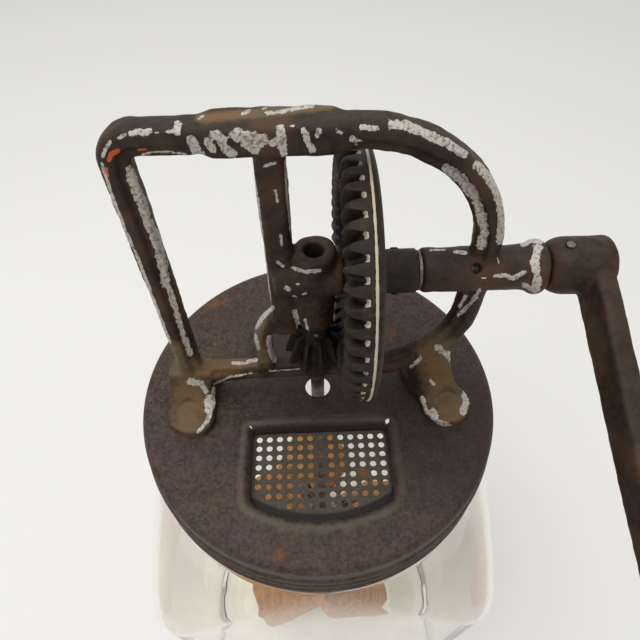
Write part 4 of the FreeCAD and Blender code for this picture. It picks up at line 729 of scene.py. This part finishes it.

# %% [markdown]
# The castings' dark brown paint has worn through to grey metal, on outer edges, which the edge
# attribute marks, and in patches. Each patch is a stroke in the picture's pixels, projected onto the
# faces that look at the camera, so it lies where the real one does. A stroke is its half width and
# its points, x and y. A few of the grey strokes are painted highlights, where light catches a lit top
# or edge. Tan ground, partly a painted highlight, and one orange corner are strokes too, and noise
# breaks them all up.

# %% Worn places and painted highlights
WEAR_AND_HIGHLIGHT_STROKES = {
    "worn": {
        # The last top bar stroke, along the bar's lower edge, is a painted highlight.
        "top bar": "1.7 110,142 106,148 103,156; 1.8 119,138 124,135; 3.0 131,133 138,131 144,133 150,131;"
            "1.3 155,133 158,133; 3.4 178,124 177,132; 1.8 168,132 176,131; 0.9 142,155 152,152 170,152 187,154",
        "pad": "4.6 191,139 196,150 200,153; 4.2 208,143 213,149; 5.0 216,135 221,141; 3.6 224,148 234,154;"
            "6.4 237,135 248,139 261,140; 5.0 246,143 255,148; 4.4 280,129 281,140 284,152; 3.4 273,143 279,141;"
            "3.8 304,131 308,141 312,149; 2.6 319,131 317,136; 1.4 292,126 294,126",
        # Painted highlights: light flecks where light catches the top of the bar.
        "top highlight": "1.7 243,114 250,110; 2.0 267,113 280,112 296,108 312,106; 1.0 262,109 266,108;"
            "1.1 198,119 204,116",
        "end of the pad": "2.6 352,137 356,143; 2.8 362,126 370,128 376,128; 1.4 350,140 362,141;"
            "1.1 336,131 342,133",
        "bow": "4.4 391,124 403,125 421,131 439,139 453,147 464,154;"
            "3.9 477,165 486,174 495,188 500,204 502,221 500,240;"
            "4.4 446,168 463,180 475,197 482,216 485,232 482,246; 1.8 480,290 470,304 458,316; 1.6 466,296 460,306",
        "long bearing": "1.7 455,252 466,253; 1.1 497,258 499,263; 0.9 482,278 486,278;"
            "2.0 495,276 505,275 512,279 525,272; 0.8 430,250 445,250; 3.8 523,242 530,238 539,242;"
            "4.0 538,248 535,262 537,276 536,288; 2.4 524,285 534,291",
        "upright's ledge": "4.8 130,171 136,190 144,210 151,229; 4.6 154,233 159,250 163,268 166,284;"
            "2.7 169,289 174,305 181,328 190,354",
        "upright's outer edge": "1.5 102,164 112,196 125,230 138,258 150,290 159,315 170,343",
        "post": "1.6 265,166 270,164 276,163; 1.4 275,190 278,202; 1.2 281,235 282,246; 1.5 277,262 283,266;"
            "1.1 285,160 287,195 291,232; 0.9 252,165 258,200 264,250 269,290 271,308",
        # The bracket's strokes are a painted highlight on the lit edge and right face of the leg.
        "bracket": "2.6 272,308 262,318 256,326; 1.8 255,335 259,348; 2.6 269,338 270,350 275,360",
        "boss": "1.8 293,268 305,272 320,270; 1.9 286,288 289,289; 1.1 297,284 299,284; 1.0 293,296 296,297;"
            "1.3 303,294 306,293; 2.4 295,312 300,330; 1.7 305,320 308,332",
        # The two thin strokes along the base bar's lower edge are a painted highlight.
        "base bar": "1.7 233,363 245,363 256,360; 0.9 214,384 230,377 252,373; 0.8 270,371 300,369",
        "left foot": "1.7 214,388 213,405 208,420 198,432; 3.6 209,398 208,410; 3.0 190,381 201,383 206,391",
        "right foot": "3.0 437,347 449,356 459,370 465,385 466,402 463,412; 2.0 422,398 426,411 438,422 450,426;"
            "1.8 411,367 420,358; 2.0 433,410 438,416; 1.6 430,380 434,384",
    },
    "tan_and_highlight": {
        # The base bar's tan, and the bracket's, is partly a painted highlight on lit faces.
        "base bar": "11 178,372 215,366 262,356; 6 262,314 256,340 258,360",
        "left foot": "18 190,385 190,425; 8 176,350 184,374",
        # Painted highlight: a yellow-brown band along the lit top of the frame.
        "top": "5 200,118 260,113 330,105",
        "right foot": "20 436,350 444,378 450,410",
    },
    "orange": {
        "corner": "2.4 109,160 111,154 118,151; 1.4 106,168 108,176; 1.2 138,150 146,149",
    },
}


def stroke_wear(piece, places):
    """For each vertex that faces the camera, how close it lies to a stroke, 1 on its middle line."""
    points = vertex_points(piece)
    facing = np.einsum("ij,ij->i", read(piece.data.vertices, "normal"), CAMERA_PLACE - points) > 0
    spots = to_picture(points)
    worn = np.zeros(len(points))
    for strokes in places.values():
        for stroke in strokes.split(";"):
            width, *line = stroke.split()
            line = np.array([point.split(",") for point in line], float)
            for start, run in zip(line, line[1:] - line[:-1]):
                share = np.clip((spots - start) @ run / (run @ run), 0, 1)
                away = np.linalg.norm(spots - start - share[:, None] * run, axis=1)
                worn = np.maximum(worn, ease((2.1 - away / float(width)) / 1.9))
    return worn * facing


for piece in (cast_frame, crank_casting):
    for name, places in WEAR_AND_HIGHLIGHT_STROKES.items():
        worn = stroke_wear(piece, places)
        add_attribute(piece, name, worn)
        print(piece.name, name, "share", round(float((worn > 0.3).mean()), 3))


def worn_paint():
    """Paint over cast iron, worn off where the edge and worn attributes say; the worn attribute also holds a few
    painted highlights, and the tan one is partly a painted highlight.
    """
    cast = Finish("worn frame paint")
    pits = cast.noise(0.8, 5, 0.6)
    blots = cast.noise(3.0, 5, 0.7, warp=0.3)
    clouds = cast.noise(15, 3, 0.5)
    # The worn attribute is bare metal wear together with a few painted highlights.
    bare = cast.attribute("worn") + cast.attribute("edge") * 0.16
    bare = (bare + (blots - 0.5) * 1.9 + (pits - 0.5) * 0.6).rise(0.56, 0.64)
    skin = cast.blend(blots.rise(0.3, 0.7), hue(31, 22, 15), hue(56, 41, 29))
    skin = cast.blend(clouds.rise(0.45, 0.7), skin, hue(72, 50, 33))
    # Tan ground, with a painted highlight along the lit top and on the base bar and bracket.
    tan_and_highlight = (cast.attribute("tan_and_highlight") * 0.75 + blots * 0.6 + pits * 0.3 - 0.5).rise(0.15, 0.75)
    ground = cast.blend(clouds.rise(0.4, 0.6), hue(116, 88, 60), hue(100, 84, 62))
    skin = cast.blend(tan_and_highlight * 0.85, skin, ground)
    orange = (cast.attribute("orange") + blots * 0.6).rise(0.8, 1.0)
    skin = cast.blend(orange, skin, hue(186, 84, 34))
    steel = cast.blend(pits.rise(0.36, 0.54), hue(124, 112, 98), hue(186, 180, 170))
    colour = cast.blend(bare, skin, steel)
    dull = 0.5 + 0.15 * pits - 0.05 * bare
    return cast.close(Base_Color=colour, Roughness=dull, Metallic=0.1 * bare, Specular_IOR_Level=0.22,
                      Normal=cast.relief(pits * 0.5 + blots * 0.5 - bare * 0.3, 0.3))


FRAME_PAINT = worn_paint()
dress(cast_frame, FRAME_PAINT, "lid_top", "cast_frame", "frame", "frame_rivets")
dress(crank_casting, FRAME_PAINT, "crank", "cast_frame", "crank_arm")

# %% [markdown]
# The crank gear is a bevel gear: all its tooth sides run towards the apex, where the two shafts'
# axes cross. So a tooth drawn once, at the pitch radius, gives every other ring by scaling it with
# the distance from the apex. Each column of the grid is a profile from the bore over the web, the
# teeth, the rim and the back to the bore again, and only the rows of the teeth differ between
# columns. The pinion's teeth are scaled the same way, down the other shaft.

# %% Gear and pinion
GEAR_TEETH, PINION_TEETH = 46, 11
GEAR_PITCH = 36.0
PINION_PITCH = GEAR_PITCH * PINION_TEETH / GEAR_TEETH
MODULE = 2 * GEAR_PITCH / GEAR_TEETH
GEAR_OUTER, GEAR_INNER = GEAR_PITCH + 0.5, GEAR_PITCH - 9.5
GEAR_TIP = PINION_PITCH - 1.0 * MODULE
GEAR_FLOOR = PINION_PITCH + 1.93 * MODULE
GEAR_RIDGE = 13.5
GEAR_HALF_GAP = 0.8 * MODULE
GEAR_RIM_BACK, GEAR_WEB_FACE, GEAR_WEB = 15.9, 11.5, 4.2
GEAR_FRONT, GEAR_BACK = 8.45, 29.1
GEAR_HUB, GEAR_BORE, ROD_RADIUS = 6.4, 3.17, 2.5
PINION_FOOT, PINION_TOP, PINION_NECK = LID_TOP + 20.8, SHAFT_LEVEL - 21.25, 4.5


def tooth_share(offset):
    """How deep the gap is, from 1 in its middle to 0 on a tooth's rounded crest.

    It is 1 / (1 + (offset / half gap)^5), stretched to reach exactly 0 halfway to the next gap.
    """
    crest = 1 / (1 + (MODULE * math.pi / 2 / GEAR_HALF_GAP) ** 5)
    return (1 / (1 + (np.abs(offset) / GEAR_HALF_GAP) ** 5) - crest) / (1 - crest)


def make_gear():
    half_step = MODULE * math.pi / 2
    offset = np.linspace(-1, 1, 21)[:-1] * half_step
    share = np.tile(tooth_share(offset), GEAR_TEETH)[None, :]
    first = np.arange(GEAR_TEETH)[:, None] * 2 * math.pi / GEAR_TEETH
    turn = (first + offset[None, :] / GEAR_PITCH).ravel()[None, :]
    web_back = GEAR_WEB_FACE + GEAR_WEB
    front = [(GEAR_BORE, GEAR_FRONT), (GEAR_HUB - 0.5, GEAR_FRONT), (GEAR_HUB, GEAR_FRONT + 0.5),
             (GEAR_HUB, GEAR_WEB_FACE - 1), (GEAR_HUB + 0.3, GEAR_WEB_FACE - 0.3),
             (GEAR_HUB + 1, GEAR_WEB_FACE)]
    front += [(radius, GEAR_WEB_FACE) for radius in np.linspace(9, GEAR_INNER - 2.2, 8)]
    front += [(GEAR_INNER - 1.5, GEAR_WEB_FACE - 0.4), (GEAR_INNER - 1.1, GEAR_WEB_FACE - 1.5)]
    back = [(GEAR_OUTER, GEAR_RIDGE - 1.0), (GEAR_OUTER, GEAR_RIDGE - 0.5)]
    back += [(GEAR_OUTER + 0.34 * c, GEAR_RIDGE + 0.4 * s) for s, c in arc(7, -90, 90)]
    back += [(GEAR_OUTER - 0.05 - 3.6 * (1 - c), GEAR_RIDGE + 0.45 + (GEAR_RIM_BACK - GEAR_RIDGE - 0.45) * s)
             for s, c in arc(9)]
    back += [(radius, web_back + (GEAR_RIM_BACK - web_back) * ease((radius - 13) / 18))
             for radius in (30, 27, 24, 21, 18, 15, 13, GEAR_HUB + 2.5)]
    back += [(GEAR_HUB + 2.5 * (1 - s), web_back + 2.5 * (1 - c)) for s, c in arc(5)[1:]]
    back += [(GEAR_HUB, GEAR_BACK - 4), (GEAR_HUB, GEAR_BACK - 0.4), (GEAR_HUB - 0.4, GEAR_BACK),
             (GEAR_BORE, GEAR_BACK), (GEAR_BORE, (GEAR_BACK + GEAR_FRONT) / 2)]

    def toothed(radius, eased):
        depth = GEAR_TIP + (GEAR_FLOOR - GEAR_TIP) * np.maximum(share, eased)
        return radius + 0 * turn, depth * radius / GEAR_PITCH

    rows = front
    for radius in GEAR_INNER + np.array((0, 0.25, 0.8, 2, 3.4, 4.8, 6.2, 7.6)):
        eased = ease(1 - (radius - GEAR_INNER) / 0.8) * 0.2 + ease((32.5 - radius) / 6) * 0.5
        rows.append(toothed(radius, eased))
    rows += [toothed(GEAR_OUTER - inset, eased)
             for inset, eased in ((1.5, 0), (0.9, 0.03), (0.5, 0.09), (0.2, 0.17), (0.04, 0.27), (0, 0.36))]
    radius, x = (np.vstack([row[k] + 0 * turn for row in rows + back]) for k in (0, 1))
    grid = np.stack([x, radius * np.sin(turn), SHAFT_LEVEL - radius * np.cos(turn)], axis=-1)
    return wrapped("crank_gear", grid, loop=True, sharp=50)


crank_gear = make_gear()
print("gear", GEAR_TEETH, "teeth, module", round(MODULE, 3))


def make_pinion():
    """Eleven teeth in the plan plane, scaled by their distance below the apex."""
    root = PINION_PITCH - 1.3 * MODULE
    tip = PINION_PITCH + 1.28 * MODULE
    half, tip_half = 0.62 * MODULE, 0.3 * MODULE
    step = math.pi / PINION_TEETH
    to_middle = (0.65 * step, 0.4 * step, 1.15 * half / root, half / (PINION_PITCH - 1),
                 half * 0.92 / PINION_PITCH, tip_half * 1.3 / tip, tip_half / tip)
    offset = np.append(0, step - np.array(to_middle))
    reach = np.array((root, root, root + 0.1, root + 0.5,
                      PINION_PITCH - 1, PINION_PITCH + 0.1, tip - 0.15, tip))
    offset = np.concatenate([offset, [step], 2 * step - offset[:0:-1]])
    reach = np.concatenate([reach, [tip + 0.03], reach[:0:-1]])
    first = np.arange(PINION_TEETH)[:, None] * 2 * step
    turn = (first + offset[None, :]).ravel()[None, :]
    scale = np.tile(reach, PINION_TEETH)[None, :] / GEAR_PITCH
    low, high = GEAR_OUTER + 0.5, GEAR_INNER
    foot, top = SHAFT_LEVEL - PINION_FOOT, SHAFT_LEVEL - PINION_TOP
    levels = np.linspace(low, high, 8)
    core = root * low / GEAR_PITCH
    rows = [(ROD_RADIUS, foot), (core - 0.3, foot), (core, foot - 0.3), (core, low + 0.02)]
    rows += [(scale * level - (0.25 if level in (low, high) else 0), level) for level in levels]
    rows += [(PINION_NECK + 0.1, high - 0.05), (PINION_NECK, high - 0.6), (PINION_NECK, top + 0.4),
             (PINION_NECK - 0.4, top), (ROD_RADIUS, top)]
    radius, level = (np.vstack([row[k] + 0 * turn for row in rows]) for k in (0, 1))
    grid = np.stack([radius * np.cos(turn), radius * np.sin(turn), SHAFT_LEVEL - level], axis=-1)
    return wrapped("bevel_pinion", grid, loop=True, sharp=38)


bevel_pinion = make_pinion()
print("pinion", PINION_TEETH, "teeth; ratio", round(GEAR_TEETH / PINION_TEETH, 3))

# %% [markdown]
# The gears are the same iron, dark with old oil and with painted shade, both deepest between the
# teeth; the pinion's iron is a darker copy, painted shade for the frame above it. The ridge round the
# rim shows pale bare metal, and so do the outer ends of the gaps, there partly as a painted highlight.
# Where a point lies round the shaft gives both, as attributes of the mesh.

# %% Gear iron


def gear_iron(name, low, high, ridge):
    iron = Finish(name)
    pits = iron.noise(0.7, 5, 0.7)
    blots = iron.noise(3.0, 5, 0.6)
    skin = iron.blend(blots.rise(0.35, 0.65), low, high)
    colour = iron.blend((blots + pits).rise(1.1, 1.45), skin, hue(80, 66, 50))
    if ridge:
        # Oil and painted shade: darker the deeper a point lies between two teeth.
        colour = iron.blend(iron.attribute("oil_and_shade") * (1.2 - blots * 0.6), colour, hue(20, 16, 11))
        # Pale bare metal on the ridge, and on the gaps' outer ends partly a painted highlight.
        worn = (iron.attribute("ridge") + blots * 1.5 + pits * 0.9).rise(1.72, 1.82)
        colour = iron.blend(worn, colour, hue(186, 174, 152))
    return iron.close(Base_Color=colour, Roughness=0.5 + 0.2 * pits, Metallic=0.1, Specular_IOR_Level=0.25,
                      Normal=iron.relief(pits * 0.5 + blots * 0.5, 0.25))


def gear_wear(piece):
    """Where the gear is worn, and where oil and painted shade lie deep between two teeth, each from 0 to 1.

    It is worn on the ridge round the rim, and less on the outer end of each gap's floor, where the pale colour is
    partly a painted highlight.
    """
    points = vertex_points(piece)
    x, radius = points[:, 0], np.hypot(points[:, 1], points[:, 2] - SHAFT_LEVEL)
    depth, toothed = x * GEAR_PITCH / radius, x < GEAR_RIDGE - 1.2
    ridge = ease(1.5 - np.abs(x - GEAR_RIDGE) / 0.36) * (radius > GEAR_OUTER - 0.5)
    # The outer end of each gap's floor: pale, partly a painted highlight.
    floor = ease((depth - GEAR_FLOOR + 1.3) / 0.8) * ease(radius - GEAR_OUTER + 2.2) * toothed
    # Oil and painted shade, growing towards the floor of each gap.
    oil_and_shade = ease(((depth - GEAR_TIP) / (GEAR_FLOOR - GEAR_TIP) - 0.3) / 0.5) * toothed
    return np.maximum(ridge, floor * 0.8), oil_and_shade * (radius > GEAR_INNER - 1) * (radius < GEAR_OUTER - 0.3)


for name, values in zip(("ridge", "oil_and_shade"), gear_wear(crank_gear)):
    add_attribute(crank_gear, name, values)
GEAR_IRON = gear_iron("gear iron with oil and painted shade", hue(24, 18, 10), hue(44, 33, 21), True)
dress(crank_gear, GEAR_IRON, "crank", "cast_gear", "gear_wheel")
# The pinion's iron is a darker copy of the gear's, painted shade for the frame that hides it.
dress(bevel_pinion, gear_iron("pinion iron with painted shade", hue(14, 11, 9), hue(32, 25, 19), False),
      "dasher", "cast_gear", "pinion")

# %% [markdown]
# Shaft, washers, pins, rod and hub are plain turned or drawn steel that has browned. Their packed
# shapes are right, so they only get a finish: fine lines round the metal and a brown bloom.

# %% Plain steel


def browned_steel():
    steel = Finish("browned steel")
    bloom = steel.noise(5, 5, 0.65)
    lines = steel.noise(0.5, 3, 0.6)
    colour = steel.blend(bloom.rise(0.35, 0.65), hue(74, 64, 56), hue(120, 108, 96))
    return steel.close(Base_Color=colour, Roughness=0.35 + 0.25 * bloom, Metallic=0.7,
                       Normal=steel.relief(lines, 0.05))


paint(browned_steel(), "crank_shaft", "spacer_washer", "crank_pin", "knob_spindle",
      "knob_washer", "pinion_pin", "thrust_washer", "dasher_rod", "dasher_hub", "hub_pin", "paddle_rivets")
paint(GEAR_IRON, "gear_pin")

# %% [markdown]
# The knob is turned from one piece of wood, so it is a profile carried round the spindle's axis. The
# paddles are flat boards with eased edges, set at a slope. A board is a ring that follows its
# outline, drawn in towards both faces.

# %% Knob and paddles
KNOB_AXIS = np.array((-86.452, 267.134))
KNOB_START, KNOB_LENGTH, KNOB_RADIUS, KNOB_BORE = 84.65, 62.0, 12.8, 2.86
PADDLE_INNER, PADDLE_OUTER, PADDLE_HEIGHT, PADDLE_SHEET = 7.0, 51.0, 110.0, 5.0
PADDLE_CORNER, PADDLE_LEAN, PADDLE_AZIMUTH = 10.0, 24.0, 26.0
DASHER_LEVEL = LID_TOP - 158.0


def make_knob():
    """Radius along the knob: a collar bead, a neck and a long swell with a domed end."""
    along = np.concatenate([(0, 0.004, 0.012, 0.03), np.linspace(0.05, 0.96, 44),
                            (0.975, 0.988, 0.996, 1)])
    collar = 7.0 + 1.6 * np.exp(-((along - 0.055) / 0.03) ** 2)
    swell = 7.4 + (KNOB_RADIUS - 7.4) * np.sin(np.clip((along - 0.12) / 0.88, 0, 1) ** 0.9 * math.pi * 0.64)
    radius = np.where(along < 0.12, collar, np.maximum(swell, 0))
    radius *= np.sqrt(np.clip(1 - ((along - 0.86) / 0.142).clip(0, 1) ** 3.2, 0.16, 1))
    radius = np.minimum(radius, 6.6 + along * 120) - 0.35 * np.exp(-((along - 0.74) / 0.008) ** 2)
    x = KNOB_START + along * KNOB_LENGTH
    x, radius = np.append(x, [x[-1], x[0]]), np.append(radius, [KNOB_BORE, KNOB_BORE])
    turn = turns(72)[None, :]
    grid = np.stack([x[:, None] + 0 * turn, KNOB_AXIS[0] + radius[:, None] * np.cos(turn),
                     KNOB_AXIS[1] + radius[:, None] * np.sin(turn)], axis=-1)
    return wrapped("wooden_knob", grid, loop=True, sharp=40)


def board_outline(count=20):
    """A board's outline: two square inner corners and two round outer ones."""
    wide, tall = PADDLE_OUTER - PADDLE_CORNER, PADDLE_HEIGHT / 2
    sine, cosine = arc(9).T
    foot = np.linspace(PADDLE_INNER, wide, count)[:-1]
    x = np.append(foot, wide + PADDLE_CORNER * sine)
    y = np.append(0 * foot + tall, tall - PADDLE_CORNER + PADDLE_CORNER * cosine)
    side = np.linspace(-1, 1, count)[1:-1]
    return (np.concatenate([x, 0 * side + PADDLE_OUTER, x[::-1], 0 * side + PADDLE_INNER]),
            np.concatenate([-y, side * (tall - PADDLE_CORNER), y[::-1], -side * tall]))


def make_paddle(index):
    """A leaned board; drawn in for its eased edges, and slightly uneven from slow waves across its faces."""
    x, y = board_outline()
    middle = (PADDLE_INNER + PADDLE_OUTER) / 2
    rows = [(share, share, 1) for share in (0.04, 0.4, 0.75)]
    rows += [(1 - inset / 22, 1 - inset / 44, level)
             for inset, level in ((1.4, 1), (0.75, 0.93), (0.3, 0.72), (0.05, 0.4), (0, 0))]
    rows += [(wide, tall, -level) for wide, tall, level in rows[-2::-1]]
    grid = np.array([(middle + (x - middle) * wide, y * tall, 0 * x + level * PADDLE_SHEET / 2)
                     for wide, tall, level in rows]).transpose(0, 2, 1)
    grid[..., 2] += 0.25 * waves(grid * (1, 1, 0), 45, 20 + index)
    lean, azimuth = math.radians(PADDLE_LEAN), math.radians(PADDLE_AZIMUTH + 90 * index)
    x, y, z = np.moveaxis(grid, -1, 0)
    up, out = z * math.sin(lean) - y * math.cos(lean), y * math.sin(lean) + z * math.cos(lean)
    grid = np.stack([x * math.cos(azimuth) - out * math.sin(azimuth),
                     x * math.sin(azimuth) + out * math.cos(azimuth), up + DASHER_LEVEL], axis=-1)
    return wrapped("wooden_paddle_%d" % (index + 1), grid, poles=("first", "last"), sharp=40)


wooden_knob = make_knob()
wooden_paddles = [make_paddle(index) for index in range(4)]
print("knob from x", np.round(vertex_points(wooden_knob)[:, 0].min()), "mm; paddles", len(wooden_paddles))

# %% [markdown]
# Wood is drawn by its grain: rings of early and late growth that the saw cuts lengthwise. A noise
# that is stretched many times along the board gives the streaks, and a finer one the pores.

# %% Wood


def wood(name, pale, dark, stretch, shine):
    grain = Finish(name)
    streaks = grain.noise(2.2, 4, 0.6, grain.place(stretch), warp=0.4)
    pores = grain.noise(0.5, 2, 0.6, grain.place(stretch))
    stains = grain.noise(16, 4, 0.6)
    colour = grain.blend(streaks.rise(0.35, 0.65), pale, dark)
    colour = grain.blend(stains.rise(0.5, 0.8) * 0.4, colour, dark)
    return grain.close(Base_Color=colour, Roughness=shine + 0.15 * pores,
                       Normal=grain.relief(pores * 0.5 + streaks * 0.5, 0.15))


PADDLE_WOOD = wood("bare paddle wood", hue(202, 146, 80), hue(168, 112, 54), (1, 1, 0.12), 0.6)
KNOB_WOOD = wood("worn knob wood", hue(150, 94, 56), hue(96, 54, 30), (0.12, 1, 1), 0.35)
dress(wooden_knob, KNOB_WOOD, "knob", "knob_wood", "crank_knob")
for index, paddle in enumerate(wooden_paddles):
    dress(paddle, PADDLE_WOOD, "dasher", "paddle_wood", "paddle_%d" % (index + 1))

# %% [markdown]
# The churn stands on a plain pale floor that fills the whole picture. A wide lamp overhead and even
# surroundings give soft shadows, and together light a level surface so that a colour renders about
# as it is written.

# %% Floor and light


def make_floor():
    size = 3.0
    mesh = bpy.data.meshes.new("floor")
    corners = [(x * size, y * size, 0) for x, y in ((-1, -1), (1, -1), (1, 1), (-1, 1))]
    mesh.from_pydata(corners, [], [(0, 1, 2, 3)])
    pale = Finish("pale floor")
    colour = pale.blend(pale.noise(400, 1), hue(238, 237, 234), hue(240, 239, 236))
    mesh.materials.append(pale.close(Base_Color=colour, Roughness=0.7, Specular_IOR_Level=0.2))
    put("floor", mesh)


def add_lamp(name, place, size, watts):
    """A square lamp that looks at the lid."""
    lamp = bpy.data.lights.new(name, "AREA")
    lamp.size, lamp.energy = size, watts
    back = np.array(place) - (0, 0, 0.24)
    back /= np.linalg.norm(back)
    side = np.cross((0.0, 1.0, 0.0), back)
    side /= np.linalg.norm(side)
    put(name, lamp, (side, np.cross(back, side), back, place))


def set_world():
    """White where it is seen, also through glass or in a reflection, and dimmer as a light."""
    bpy.context.scene.world = bpy.data.worlds.new("surroundings")
    sky = Finish("surroundings", bpy.context.scene.world)
    seen = sky.node("LightPath", out="Is Camera Ray")
    for ray in ("Is Transmission Ray", "Is Glossy Ray"):
        seen = seen.at_least(sky.node("LightPath", out=ray))
    light = sky.node("Background", sockets={"Color": (1, 1, 1, 1), "Strength": 0.56 + 0.44 * seen})
    sky.node("OutputWorld", sockets={"Surface": light})


make_floor()
add_lamp("overhead lamp", (-0.25, -0.1, 1.5), 1.2, 13)
set_world()
bpy.context.scene.view_settings.view_transform = "Standard"
print("floor, lamp and surroundings are in place")
